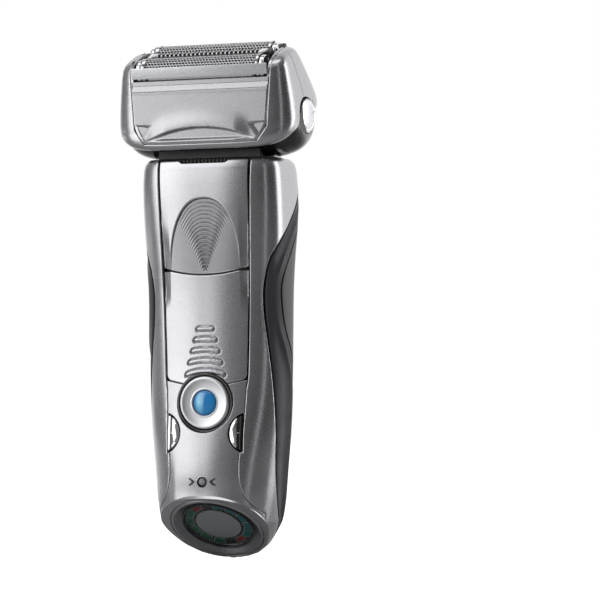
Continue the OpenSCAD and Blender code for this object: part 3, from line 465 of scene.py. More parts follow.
def skin(sheet, edges=(), radius=0.35, relief=None, wall=1.2, outward=None):
    """Turns a sheet into a closed shell: trimmed at each edge, its edges rounded, its face in relief.

    Each edge is a field, or a field and the radius of its own rounding. It gives points and faces.
    """
    rounded = []
    for edge in edges:
        field, r = edge if isinstance(edge, tuple) else (edge, radius)
        sheet = cut(sheet, field)
        rounded.append((field, r))
    for field, r in rounded:
        if r > 0:
            for share in (0.12, 0.45, 1.0):
                sheet = cut(sheet, field, r * share, keep_all=True)
    uv, tris, place = sheet
    points = place(uv[:, 0], uv[:, 1])
    lie = normals_of(points, tris)
    if outward is not None and np.mean(np.sum(lie * outward, 1)) < 0:
        tris, lie = tris[:, ::-1], -lie
    drop = np.zeros(len(points))
    for field, r in rounded:
        if r > 0:
            d = np.clip(field(points) / r, 0, 1)
            drop = np.maximum(drop, r * (1 - np.sqrt(np.clip(1 - (1 - d) ** 2, 0, 1))))
    lift = -drop
    if relief is not None:
        lift = relief(points) * (1 - drop / max(radius, 1e-6)).clip(0, 1) - drop
    front = points + lie * lift[:, None]
    rear = points - lie * wall
    rim = rim_of(tris)
    n = len(points)
    walls = np.concatenate((np.stack((rim[:, 0], rim[:, 0] + n, rim[:, 1] + n), 1),
                            np.stack((rim[:, 0], rim[:, 1] + n, rim[:, 1]), 1)))
    return np.vstack((front, rear)), np.concatenate((tris, tris[:, ::-1] + n, walls))


def joined(*solids):
    """Several point and face lists as one."""
    points, faces, start = [], [], 0
    for p, f in solids:
        points.append(np.asarray(p, float))
        faces += [tuple(int(i) + start for i in face) for face in f]
        start += len(p)
    return np.vstack(points), faces


def ringed(rings, closed=True):
    """Quads through a stack of rings of equal length, with its two ends closed."""
    rings = np.asarray(rings, float)
    m, n = rings.shape[:2]
    faces = [(i * n + k, i * n + (k + 1) % n, (i + 1) * n + (k + 1) % n, (i + 1) * n + k)
             for i in range(m - 1) for k in range(n)]
    if closed:
        faces += [tuple(range(n - 1, -1, -1)), tuple((m - 1) * n + k for k in range(n))]
    return rings.reshape(-1, 3), faces


def turned(profile, steps=96, loop=False):
    """A solid of revolution about z from (radius, height) pairs. A loop closes on itself as a ring."""
    turn = np.arange(steps) * 2 * math.pi / steps
    rings = [np.stack((r * np.cos(turn), r * np.sin(turn), np.full(steps, float(h))), -1)
             for r, h in profile]
    if loop:
        rings.append(rings[0])
    points, faces = ringed(rings, closed=not loop)
    if loop:
        n = len(points) - steps
        faces = [tuple(i % n if i >= n else i for i in face) for face in faces]
        points = points[:n]
    return points, faces


def rounded_profile(corners, radius, steps=4):
    """A polyline with its inner corners rounded. A corner may bring its own radius as a third value."""
    out = [np.array(corners[0][:2], float)]
    for before, corner, after in zip(corners, corners[1:], corners[2:]):
        r = corner[2] if len(corner) > 2 else radius
        b, c, a = (np.array(q[:2], float) for q in (before, corner, after))
        in_, out_ = b - c, a - c
        reach = min(r, 0.48 * np.hypot(*in_), 0.48 * np.hypot(*out_))
        s, e = c + in_ / np.hypot(*in_) * reach, c + out_ / np.hypot(*out_) * reach
        for k in range(steps + 1):
            t = k / steps
            out.append((1 - t) ** 2 * s + 2 * t * (1 - t) * c + t * t * e)
    out.append(np.array(corners[-1][:2], float))
    return out


def rounded_loop(corners, radius, steps=4):
    """A closed outline with every corner rounded."""
    ring = list(corners)
    profile = rounded_profile([ring[-1]] + ring + [ring[0]], radius, steps)
    return profile[1:-1]


def prism(outline, low, high, edge=0.2, steps=3):
    """A solid from a closed outline in x and y, between two heights, with its rims rounded."""
    ring = np.asarray(outline, float)
    area = 0.5 * np.sum(ring[:, 0] * np.roll(ring[:, 1], -1) - np.roll(ring[:, 0], -1) * ring[:, 1])
    if area < 0:
        ring = ring[::-1]
    ahead, behind = np.roll(ring, -1, 0) - ring, ring - np.roll(ring, 1, 0)
    ahead /= np.maximum(np.hypot(*ahead.T), 1e-9)[:, None]
    behind /= np.maximum(np.hypot(*behind.T), 1e-9)[:, None]
    side = np.stack(((ahead + behind)[:, 1], -(ahead + behind)[:, 0]), 1)
    side /= np.maximum(np.hypot(*side.T), 1e-9)[:, None]
    levels = [(edge * (1 - math.sin(a)), low + edge * (1 - math.cos(a)))
              for a in np.linspace(0, math.pi / 2, steps + 1)]
    levels += [(edge * (1 - math.cos(a)), high - edge * (1 - math.sin(a)))
               for a in np.linspace(0, math.pi / 2, steps + 1)]
    rings = [np.column_stack((ring - side * inset, np.full(len(ring), height)))
             for inset, height in levels]
    return ringed(rings)


def moved(solid, matrix=None, shift=(0, 0, 0)):
    points, faces = solid
    if matrix is not None:
        points = points @ np.asarray(matrix, float).T
    return points + np.asarray(shift, float), faces


# Turns of an upright solid: its z axis to the front, or to the right
TO_FRONT = ((1, 0, 0), (0, 0, -1), (0, 1, 0))
TO_RIGHT = ((0, 0, 1), (1, 0, 0), (0, 1, 0))


def block(low, high, edge=0.25):
    (x0, y0, z0), (x1, y1, z1) = low, high
    return prism(rounded_loop(((x0, y0), (x1, y0), (x1, y1), (x0, y1)), edge, 2), z0, z1, edge, 2)


def build(name, solid, body, finish, replaces=(), sharp=35.0, place=None):
    """Makes an object from points in millimetres and faces, with its finish and its body."""
    points, faces = solid
    if place is not None:
        points = place(points)
    points = np.asarray(points, float) * 0.001
    mesh = bpy.data.meshes.new(name)
    if isinstance(faces, np.ndarray):
        corners = faces.size
        mesh.vertices.add(len(points))
        mesh.vertices.foreach_set("co", points.ravel().astype(np.float32))
        mesh.loops.add(corners)
        mesh.loops.foreach_set("vertex_index", faces.ravel().astype(np.int32))
        mesh.polygons.add(len(faces))
        mesh.polygons.foreach_set("loop_start", np.arange(0, corners, 3, dtype=np.int32))
        mesh.update(calc_edges=True)
    else:
        mesh.from_pydata(points.tolist(), [], faces)
    mesh.validate()
    work = bmesh.new()
    work.from_mesh(mesh)
    bmesh.ops.remove_doubles(work, verts=work.verts, dist=2e-6)
    bmesh.ops.recalc_face_normals(work, faces=work.faces)
    work.to_mesh(mesh)
    work.free()
    mesh.polygons.foreach_set("use_smooth", np.ones(len(mesh.polygons), bool))
    mesh.set_sharp_from_angle(angle=math.radians(sharp))
    mesh.materials.append(finish)
    piece = bpy.data.objects.new(name, mesh)
    bpy.context.scene.collection.objects.link(piece)
    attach(piece, body)
    if replaces:
        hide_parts(*replaces)
    return piece


# ---------- Finishes ----------


class Nodes:
    """A small helper for wiring a node tree."""

    def __init__(self, tree):
        self.tree = tree
        tree.nodes.clear()

    def add(self, kind, inputs=None, **settings):
        node = self.tree.nodes.new(kind)
        for key, value in settings.items():
            setattr(node, key, value)
        for key, value in (inputs or {}).items():
            socket = node.inputs[key]
            if isinstance(value, bpy.types.NodeSocket):
                self.tree.links.new(value, socket)
            elif isinstance(value, tuple) and len(value) == 3 and socket.type == "RGBA":
                socket.default_value = (*value, 1.0)
            else:
                socket.default_value = value
        return node

    def place(self, scale=(1.0, 1.0, 1.0)):
        """The spot on the object, in metres."""
        spot = self.add("ShaderNodeTexCoord").outputs["Object"]
        if scale == (1.0, 1.0, 1.0):
            return spot
        return self.add("ShaderNodeMapping", {"Vector": spot, "Scale": scale}).outputs[0]

    def noise(self, scale, detail=3.0, stretch=(1.0, 1.0, 1.0)):
        return self.add("ShaderNodeTexNoise", {"Vector": self.place(stretch), "Scale": scale,
                                               "Detail": detail}).outputs["Fac"]

    def spread(self, value, low, high, start=0.3, end=0.7):
        return self.add("ShaderNodeMapRange", {"Value": value, "From Min": start, "From Max": end,
                                               "To Min": low, "To Max": high}).outputs["Result"]

    def math(self, operation, a, b=0.0, c=0.0):
        node = self.add("ShaderNodeMath", operation=operation)
        for socket, value in zip(node.inputs, (a, b, c)):
            if isinstance(value, bpy.types.NodeSocket):
                self.tree.links.new(value, socket)
            else:
                socket.default_value = value
        return node.outputs[0]

    def blend(self, share, a, b):
        node = self.add("ShaderNodeMix", data_type="RGBA")
        for socket, value in ((node.inputs[0], share), (node.inputs[6], a), (node.inputs[7], b)):
            if isinstance(value, bpy.types.NodeSocket):
                self.tree.links.new(value, socket)
            else:
                socket.default_value = (*value, 1.0) if isinstance(value, (tuple, list)) else value
        return node.outputs[2]

    def bump(self, height, distance, strength=1.0, under=None):
        inputs = {"Height": height, "Distance": distance, "Strength": strength}
        if under is not None:
            inputs["Normal"] = under
        return self.add("ShaderNodeBump", inputs).outputs["Normal"]


def tone(base, factor):
    return tuple(min(1.0, max(0.0, c * factor)) for c in base)


def finish_maker(wire):
    """Makes a finish the first time, and finds it by its name after that.

    Names start with "shaver_", so that none is taken for a finish that comes in with the frame.
    """
    @functools.wraps(wire)
    def make(name, *values, **options):
        name = "shaver_" + name
        material = bpy.data.materials.get(name)
        if material is None:
            material = bpy.data.materials.new(name)
            material.use_nodes = True
            nodes = Nodes(material.node_tree)
            shader = wire(nodes, *values, **options)
            nodes.add("ShaderNodeOutputMaterial", {"Surface": shader.outputs[0]})
        return material
    return make


@finish_maker
def finish(nodes, base, rough, metallic=0.0, mottle=0.04, mottle_scale=220.0, grain=2600.0, depth=4e-6,
           spread=0.05, stretch=(1.0, 1.0, 1.0), **sockets):
    """A finish with a little unevenness in its colour, gloss and surface."""
    base = tuple(base)[:3]
    cloudy = nodes.noise(mottle_scale, 4.0)
    fine = nodes.noise(grain, 2.0, stretch)
    shade = nodes.spread(nodes.math("ADD", nodes.math("MULTIPLY", cloudy, 0.6),
                                    nodes.math("MULTIPLY", fine, 0.4)), 0.0, 1.0)
    inputs = {
        "Base Color": nodes.blend(shade, tone(base, 1 - mottle), tone(base, 1 + mottle)),
        "Roughness": nodes.spread(fine, max(0.02, rough - spread), min(1.0, rough + spread)),
        "Metallic": metallic,
        "Normal": nodes.bump(fine, depth),
    }
    inputs.update(sockets)
    shader = nodes.add("ShaderNodeBsdfPrincipled", inputs)
    return shader


@finish_maker
def satin_metal(nodes, base, rough, centre, axis=1):
    """Metal turned on a lathe: fine rings round a centre, in metres, across the two other axes."""
    spot = nodes.add("ShaderNodeVectorMath", {0: nodes.place(), 1: centre}, operation="SUBTRACT")
    flat = [1.0, 1.0, 1.0]
    flat[axis] = 0.0
    across = nodes.add("ShaderNodeVectorMath", {0: spot.outputs[0], 1: flat}, operation="MULTIPLY")
    radius = nodes.add("ShaderNodeVectorMath", {0: across.outputs[0]},
                       operation="LENGTH").outputs["Value"]
    rings = nodes.add("ShaderNodeTexNoise", {"W": nodes.math("MULTIPLY", radius, 9000.0), "Scale": 1.0,
                                             "Detail": 2.0}, noise_dimensions="1D").outputs["Fac"]
    base = tuple(base)[:3]
    shader = nodes.add("ShaderNodeBsdfPrincipled", {
        "Base Color": nodes.blend(rings, tone(base, 0.93), tone(base, 1.05)),
        "Roughness": nodes.spread(rings, rough - 0.05, rough + 0.06),
        "Metallic": 1.0,
        "Normal": nodes.bump(rings, 3e-6),
    })
    return shader


@finish_maker
def soft_grip(nodes, base):
    """Moulded rubber with a fine leathery grain."""
    cells = nodes.add("ShaderNodeTexVoronoi", {"Vector": nodes.place(),
                                               "Scale": 2300.0}).outputs["Distance"]
    cloudy = nodes.noise(160.0, 4.0)
    base = tuple(base)[:3]
    shader = nodes.add("ShaderNodeBsdfPrincipled", {
        "Base Color": nodes.blend(cloudy, tone(base, 0.8), tone(base, 1.3)),
        "Roughness": nodes.spread(cloudy, 0.42, 0.55),
        "Specular IOR Level": 0.42,
        "Normal": nodes.bump(cells, 2.5e-5, 0.5),
    })
    return shader


@finish_maker
def lens_glass(nodes, base, centre, radius):
    """Blue lens: a painted highlight at its upper left and a painted glow all over, deeper towards its rim."""
    base = tuple(base)[:3]

    def distance(offset, tall=1.0):
        spot = nodes.add("ShaderNodeVectorMath", {
            0: nodes.place(), 1: tuple(c + o for c, o in zip(centre, offset))}, operation="SUBTRACT")
        flat = nodes.add("ShaderNodeVectorMath", {0: spot.outputs[0], 1: (1.0, 0.0, tall)},
                         operation="MULTIPLY")
        return nodes.add("ShaderNodeVectorMath", {0: flat.outputs[0]},
                         operation="LENGTH").outputs["Value"]

    # glow marks a painted highlight: a pale spot left of the centre, in place of a lamp's reflection
    glow = nodes.spread(distance((-radius * 0.36, 0.0, 0.0), 0.35), 1.0, 0.0,
                        radius * 0.05, radius * 0.45)
    rim = nodes.spread(distance((0.0, 0.0, 0.0)), 0.0, 1.0, radius * 0.8, radius)
    pale = tuple(min(1.0, c * 0.8 + lift) for c, lift in zip(base, (0.24, 0.48, 0.48)))
    body = nodes.blend(glow, base, pale)
    body = nodes.blend(rim, body, tone(base, 0.45))
    body = nodes.blend(nodes.spread(nodes.noise(900.0), 0.0, 0.12), body, tone(base, 0.7))
    shader = nodes.add("ShaderNodeBsdfPrincipled", {
        "Base Color": body,
        "Roughness": nodes.spread(nodes.noise(1500.0), 0.09, 0.15),
        # The lens emits its own colour: a painted glow, since the lens is no lamp
        "Emission Color": body,
        "Emission Strength": 0.24,
        "Coat Weight": 0.8,
        "Coat Roughness": 0.04,
    })
    return shader


@finish_maker
def window_glass(nodes):
    """Clear display window with a faint haze."""
    haze = nodes.noise(400.0)
    shine = nodes.add("ShaderNodeBsdfGlossy", {"Color": (0.9, 0.93, 0.95),
                                               "Roughness": nodes.spread(haze, 0.04, 0.08)})
    clear = nodes.add("ShaderNodeBsdfTransparent", {"Color": nodes.blend(haze, (0.96, 0.98, 0.98),
                                                                         (0.99, 0.99, 0.99))})
    edge = nodes.add("ShaderNodeFresnel", {"IOR": 1.4}).outputs[0]
    outside = nodes.math("SUBTRACT", 1.0, nodes.add("ShaderNodeNewGeometry").outputs["Backfacing"])
    share = nodes.math("MULTIPLY", nodes.math("MULTIPLY", edge, 0.6), outside)
    gloss = nodes.add("ShaderNodeMixShader", {0: share, 1: clear.outputs[0], 2: shine.outputs[0]})
    return gloss


@finish_maker
def layered(nodes, base, other, rough, scale, metallic=0.0, **sockets):
    """Two colours that meet in soft stripes across the height, for wound and printed parts."""
    wave = nodes.add("ShaderNodeTexWave", {"Vector": nodes.place(), "Scale": scale, "Distortion": 0.6,
                                           "Detail": 1.0}, bands_direction="X").outputs["Fac"]
    inputs = {"Base Color": nodes.blend(wave, tuple(base)[:3], tuple(other)[:3]), "Metallic": metallic,
              "Roughness": nodes.spread(wave, rough - 0.06, rough + 0.06),
              "Normal": nodes.bump(wave, 5e-5, 0.5)}
    inputs.update(sockets)
    shader = nodes.add("ShaderNodeBsdfPrincipled", inputs)
    return shader


def palette(scene):
    """Every finish of the shaver by its short name."""
    c = scene.shaver_colours
    lens_at = (0.0, 0.0, scene.shaver_controls.power_height)
    lens_r = scene.shaver_controls.lens_diameter / 2
    return {
        # The arch's finish is the silver at 0.7 of its tone: painted shade for the hollow of the thumb scoop
        "arch": finish("arch_grey", tone(c.silver, 0.70), 0.33, 0.85, 0.03, 500.0, 5200.0, 2e-6),
        "silver": finish("satin_silver", c.silver, 0.25, 0.95, 0.025, 500.0, 5200.0, 1.5e-6),
        "dark_silver": finish("smoked_silver", c.dark_silver, 0.28, 0.90, 0.03, 500.0, 5200.0, 1.5e-6),
        "pale_silver": finish("pale_silver", c.pale_silver, 0.30, 0.75, 0.02, 400.0, 4200.0, 1.5e-6),
        "panel_silver": finish("panel_silver", tone(c.silver, 0.96), 0.27, 0.90, 0.03, 500.0, 5200.0,
                               1.5e-6),
        "key": satin_metal("turned_metal", c.key_silver, 0.34, lens_at),
        "chrome": finish("bright_chrome", c.chrome, 0.09, 1.0, 0.02, 300.0, 3000.0, 6e-7, 0.03),
        "foil": finish("foil_steel", tone(c.chrome, 0.78), 0.17, 1.0, 0.05, 700.0, 6000.0, 2e-6,
                       0.05, (1.0, 0.15, 1.0)),
        "steel": finish("ground_steel", (0.52, 0.53, 0.55), 0.27, 1.0, 0.06, 600.0, 3000.0, 5e-6,
                        0.07, (0.1, 1.0, 1.0)),
        "dark_steel": finish("shadowed_steel", (0.10, 0.10, 0.11), 0.35, 0.8, 0.1, 600.0, 3000.0, 5e-6,
                             0.07),
        "iron": finish("core_iron", (0.22, 0.22, 0.24), 0.42, 0.9, 0.15, 500.0, 2500.0, 1e-5, 0.08),
        "copper": layered("wound_copper", (0.55, 0.22, 0.09), (0.34, 0.11, 0.04), 0.3, 420.0, 0.9),
        "brass": finish("contact_brass", (0.72, 0.60, 0.36), 0.24, 1.0, 0.06, 500.0, 2600.0, 4e-6),
        "black": finish("moulded_black", c.black, 0.36, 0.0, 0.25, 300.0, 3600.0, 1.2e-5, 0.07),
        "gloss_black": finish("gloss_black", tone(c.black, 0.7), 0.12, 0.0, 0.2, 300.0, 3000.0, 1.5e-6,
                              0.03, **{"Coat Weight": 0.5, "Coat Roughness": 0.06}),
        "grey": finish("disc_grey", (0.36, 0.36, 0.37), 0.45, 0.1, 0.05, 300.0, 3600.0, 8e-6),
        "chassis": finish("chassis_nylon", (0.60, 0.60, 0.56), 0.5, 0.0, 0.06, 260.0, 2400.0, 1.5e-5),
        "rubber": soft_grip("soft_rubber", c.rubber),
        "lens": lens_glass("blue_lens", c.lens, lens_at, lens_r),
        "window": window_glass("clear_window"),
        **{look: finish(look + "_bar", getattr(c, look), 0.34, 0.0, 0.14, 900.0, 3000.0, 4e-6, 0.05,
                        **{"Specular IOR Level": 0.4}) for look in ("teal", "green", "red")},
        "print": finish("pale_outline", (0.30, 0.42, 0.38), 0.5, 0.0, 0.08, 900.0, 3000.0, 2e-6),
        "cell": layered("cell_wrap", (0.05, 0.17, 0.34), (0.04, 0.12, 0.27), 0.34, 30.0),
        "board": layered("circuit_green", (0.012, 0.10, 0.045), (0.02, 0.14, 0.06), 0.4, 700.0),
    }


# Finish and rounding, in millimetres, of the packed pieces that show as they are
PLAIN_PIECES = {
    "chassis": ("chassis", 0.2), "battery": ("cell", 0.4), "circuit_board": ("board", 0.0),
    "display_window": ("window", 0.0),
    "socket_pins": ("brass", 0.15), "station_contacts": ("brass", 0.25),
    "neck_screws": ("steel", 0.15), "neck": ("black", 0.35), "swivel_posts": ("steel", 0.2),
    "swivel_pins": ("steel", 0.15), "motor_deck": ("black", 0.2), "motor_core": ("iron", 0.1),
    "motor_coil": ("copper", 0.3), "front_armature": ("iron", 0.1), "rear_armature": ("iron", 0.1),
    "cutter_front": ("dark_steel", 0.0), "cutter_rear": ("dark_steel", 0.0),
    "middle_cutter": ("dark_steel", 0.0),
    "trimmer_carrier": ("black", 0.15), "trimmer_comb": ("black", 0.05), "trimmer_cutter": ("iron", 0.0),
    "trimmer_pin": ("steel", 0.1), "display_panel": ("gloss_black", 0.1),
    "display_disc": ("grey", 0.08),
}


# ---------- Handle ----------


class ShaverStep:
    """What every step of the build shares."""
    bl_options = {"REGISTER", "UNDO"}

    def start(self, context):
        scene = context.scene
        return HandleShape(scene), HeadShape(scene), palette(scene)


def deck_outside(p):
    """Distance outside the openings for the neck and the posts in the handle's top."""
    x, y, z = np.abs(p[:, 0]), p[:, 1], p[:, 2]
    neck = np.maximum(x - 17.6, np.maximum(-7.8 - y, y - 9.8))
    post = np.maximum(np.abs(x - 19.1) - 1.4, np.abs(y + 0.8) - 2.7)
    return np.where(z > 119, np.minimum(neck, post), AWAY)


class SHAVER_OT_front_shell(ShaverStep, bpy.types.Operator):
    """Silver front of the handle, with its openings"""
    bl_idname = "shaver.front_shell"
    bl_label = "Front Shell"

    def execute(self, context):
        shape, _, looks = self.start(context)
        gap = shape.joint / 2
        turns = np.linspace(-math.pi - 0.86, 0.86, 190)
        heights = np.concatenate((np.linspace(-8, shape.height, 216),
                                  np.linspace(shape.height, shape.height + 19.4, 26)[1:]))
        sheet = lattice(turns, heights, shape.around)
        body = skin(sheet, edges=(
            lambda p: shape.front_zone(p) - gap,
            lambda p: np.maximum(-shape.inside_front(p, 0) - gap * self.tight(shape, p), p[:, 1] + 7.0),
            (shape.over_dial, 0.0),
            lambda p: shape.key_outside(p, 0.28),
            (lambda p: shape.dial_radius(p) - shape.bezel_r - 0.12, 0.15),
            (deck_outside, 0.2),
        ), radius=shape.edge, wall=shape.wall, outward=FORWARDS)
        sides = np.linspace(-21, 21, 96)
        ups = np.linspace(-18, 19, 84)
        face = lattice(sides, ups, shape.on_dial)
        rim = skin(face, edges=(
            (lambda p: self.outline(shape, p), 0.0),
            (lambda p: p[:, 2], 0.0),
            (lambda p: shape.dial_radius(p) - shape.bezel_r - 0.12, 0.25),
            (lambda p: shape.front_zone(p) - gap, 0.2),
        ), radius=0.25, wall=1.0, outward=shape.dial_normal)
        build("front_shell_skin", joined(body, rim), "handle", looks["silver"], ("front_shell",))
        return {"FINISHED"}

    @staticmethod
    def tight(shape, p):
        """The joint beside the control panel is a bare line; beside the cover and slide it is open."""
        return 0.25 + 0.75 * smoothstep(p[:, 2], shape.slide_low - 2.5, shape.slide_low - 0.5)

    @staticmethod
    def outline(shape, p):
        half, front, back, power = shape.rows(p[:, 2])
        depth = np.where(p[:, 1] < 0, front, back)
        share = (np.abs(p[:, 0] / half) ** power + np.abs(p[:, 1] / depth) ** power) ** (1 / power)
        reach = np.hypot(p[:, 0], p[:, 1])
        return reach * (1 / np.maximum(share, 0.05) - 1)


class SHAVER_OT_back_shell(ShaverStep, bpy.types.Operator):
    """Black back of the handle, with its grooves and openings"""
    bl_idname = "shaver.back_shell"
    bl_label = "Back Shell"

    def execute(self, context):
        shape, _, looks = self.start(context)
        gap = shape.joint / 2
        turns = np.linspace(-0.42, math.pi + 0.42, 170)
        heights = np.concatenate((np.linspace(-19.4, 0, 34)[:-1], np.linspace(0, shape.height, 290),
                                  np.linspace(shape.height, shape.height + 19.4, 26)[1:]))

        def socket(p):
            return np.where(p[:, 2] < 2, np.hypot(p[:, 0] / 2, p[:, 1] - SOCKET_BACK) - 2.7, AWAY)

        def studs(p):
            return np.where(p[:, 1] > 0, np.hypot(np.abs(p[:, 0]) - 6, p[:, 2] - 24) - 2.0, AWAY)

        def lock(p):
            low, high = shape.height - 15.2, shape.height - 6.1
            return np.where(p[:, 1] > 0, np.maximum(np.abs(p[:, 0]) - 1.8,
                                                    np.maximum(low - p[:, 2], p[:, 2] - high)), AWAY)

        body = skin(lattice(turns, heights, shape.around), edges=(
            lambda p: -shape.before(CREST, p) - gap,
            lambda p: -shape.front_zone(p) - gap,
            (shape.over_dial, 0.15),
            (socket, 0.2), (studs, 0.2), (lock, 0.25), (deck_outside, 0.2),
        ), radius=shape.edge, relief=self.relief, wall=0.7 * shape.wall,
            outward=np.array((0.0, 1.0, 0.0)))
        body[0][:, 2] = np.maximum(body[0][:, 2], 0.0)  # the foot ends at its rest plane
        build("back_shell_skin", body, "handle", looks["black"], ("back_shell",))
        cup, faces = turned(((0, 4.4), (4.5, 4.4), (4.5, 1.2), (5.3, 1.2), (5.3, 5.2), (0, 5.2)), 72)
        build("power_socket_cup", (cup * (1, 0.5, 1) + (0, SOCKET_BACK, 0), faces), "handle", looks["black"],
              ("power_socket",))
        return {"FINISHED"}

    @staticmethod
    def relief(p):
        """Finger grooves across the back, and a shallow frame round them."""
        x, z = p[:, 0], p[:, 2]
        rise = (z - 62.5) / 5.5
        near = np.abs(rise - np.clip(np.round(rise), 0, 5)) * 5.5
        groove = -0.5 * (1 - smoothstep(near, 0.25, 0.8)) * (1 - smoothstep(np.abs(x), 8.2, 9.2))
        ring = np.maximum(np.abs(x) - 11.2, np.abs(z - 76.3) - 19.5)
        frame_line = -0.25 * (1 - smoothstep(np.abs(ring), 0.15, 0.6))
        return np.where(p[:, 1] > 0, groove + frame_line, 0)


class SHAVER_OT_grips(ShaverStep, bpy.types.Operator):
    """Soft grips along both sides of the handle"""
    bl_idname = "shaver.grips"
    bl_label = "Side Grips"

    def execute(self, context):
        shape, _, looks = self.start(context)
        gap = shape.joint / 2
        turns = np.linspace(-0.75, 1.35, 110)
        heights = np.concatenate((np.linspace(3, shape.height, 250),
                                  np.linspace(shape.height, shape.height + 12, 14)[1:]))
        points, faces = skin(lattice(turns, heights, shape.around), edges=(
            lambda p: shape.before(CREST, p) - gap,
            lambda p: -shape.front_zone(p) - gap,
            lambda p: p[:, 0] - 9,
            (deck_outside, 0.2),
        ), radius=shape.edge, relief=self.relief, wall=shape.wall,
            outward=np.array((1.0, 0.0, 0.0)))
        flip = np.array((-1.0, 1.0, 1.0))
        for side, form in (("right", points), ("left", points * flip)):
            build("grip_" + side + "_skin", (form, faces), "handle", looks["rubber"],
                  ("grip_" + side,))
        return {"FINISHED"}

    @staticmethod
    def relief(p):
        """A soft rib runs down the grip between two hollows."""
        front, _ = line_at(SEAM, p[:, 2])
        rear, _ = line_at(CREST, p[:, 2])
        share = np.clip((p[:, 1] - front) / np.maximum(rear - front, 0.5), 0, 1)
        wide = smoothstep(rear - front, 4, 12)
        rib = np.exp(-((share - 0.55) / 0.09) ** 2) * 0.55 - 0.45 * np.exp(-((share - 0.3) / 0.16) ** 2)
        line = -0.22 * np.exp(-((share - 0.72) / 0.022) ** 2)
        return (rib + line) * wide


def ring_solid(shape, inner, outer, low, high):
    """A ring round the power button, as a section turned about its axis."""
    return moved(turned(rounded_loop(((inner, low), (outer, low), (outer, high), (inner, high)), 0.12, 3),
                        96, loop=True), TO_FRONT, (0, 0, shape.power_z))


class SHAVER_OT_control_panel(ShaverStep, bpy.types.Operator):
    """Silver control panel under the buttons"""
    bl_idname = "shaver.control_panel"
    bl_label = "Control Panel"

    def execute(self, context):
        shape, _, looks = self.start(context)
        reset_r = mm(context.scene.shaver_controls.reset_diameter) / 2
        sheet = lattice(np.linspace(-19.2, 19.2, 160), np.linspace(7, 58, 210), shape.face)
        body = skin(sheet, edges=(
            lambda p: np.minimum(shape.inside_front(p, 0.06), -p[:, 1] - 7.06),
            lambda p: -shape.slide_foot(p) - 0.22,
            (lambda p: shape.power_outside(p, shape.ring_r), 0.25),
            lambda p: shape.key_outside(p, 0.28),
            (lambda p: np.hypot(p[:, 0], p[:, 2] - shape.reset_z) - reset_r - 0.25, 0.2),
            (shape.over_dial, 0.2),
            (lambda p: shape.dial_radius(p) - shape.bezel_r - 0.12, 0.25),
        ), radius=0.22, relief=self.relief, wall=shape.wall,
            outward=FORWARDS)
        build("control_panel_skin", body, "handle", looks["panel_silver"], ("control_panel",))
        marks = [self.chevron(shape, side) for side in (-1, 1)]
        build("reset_marks", joined(*marks), "handle", looks["black"])
        return {"FINISHED"}

    @staticmethod
    def relief(p):
        """A shallow valley runs into the rim of the display."""
        x, z = p[:, 0], p[:, 2]
        low = smoothstep(z, 38, 22)
        hollow = -0.75 * np.exp(-((z - 20.5) / 5.5) ** 2) * np.exp(-(x / 11.0) ** 2)
        return hollow - 0.12 * low * smoothstep(np.abs(x), 9, 11.4)

    @staticmethod
    def chevron(shape, side):
        """An arrow head beside the reset button, pointing at it."""
        tip, back, rise, thick = 2.5, 4.0, 1.15, 0.6
        outline = ((tip * side, 0), (back * side, rise), ((back + thick) * side, rise),
                   ((tip + 1.25 * thick) * side, 0), ((back + thick) * side, -rise), (back * side, -rise))
        points, faces = prism(outline, -0.25, 0.04, 0.02, 1)
        return on_face(shape, points, shape.reset_z), faces


def on_face(shape, points, z0, relief=None):
    """Lays a flat solid on the handle's front: x across, y up from z0, z outwards."""
    x, z, lift = points[:, 0], points[:, 1] + z0, points[:, 2]
    step = 0.05
    here = shape.face(x, z)
    across = shape.face(x + step, z) - shape.face(x - step, z)
    up = shape.face(x, z + step) - shape.face(x, z - step)
    out = np.cross(across, up)
    out /= np.linalg.norm(out, axis=1)[:, None]
    if relief is not None:
        lift = lift + relief(here)
    return here + out * lift[:, None]


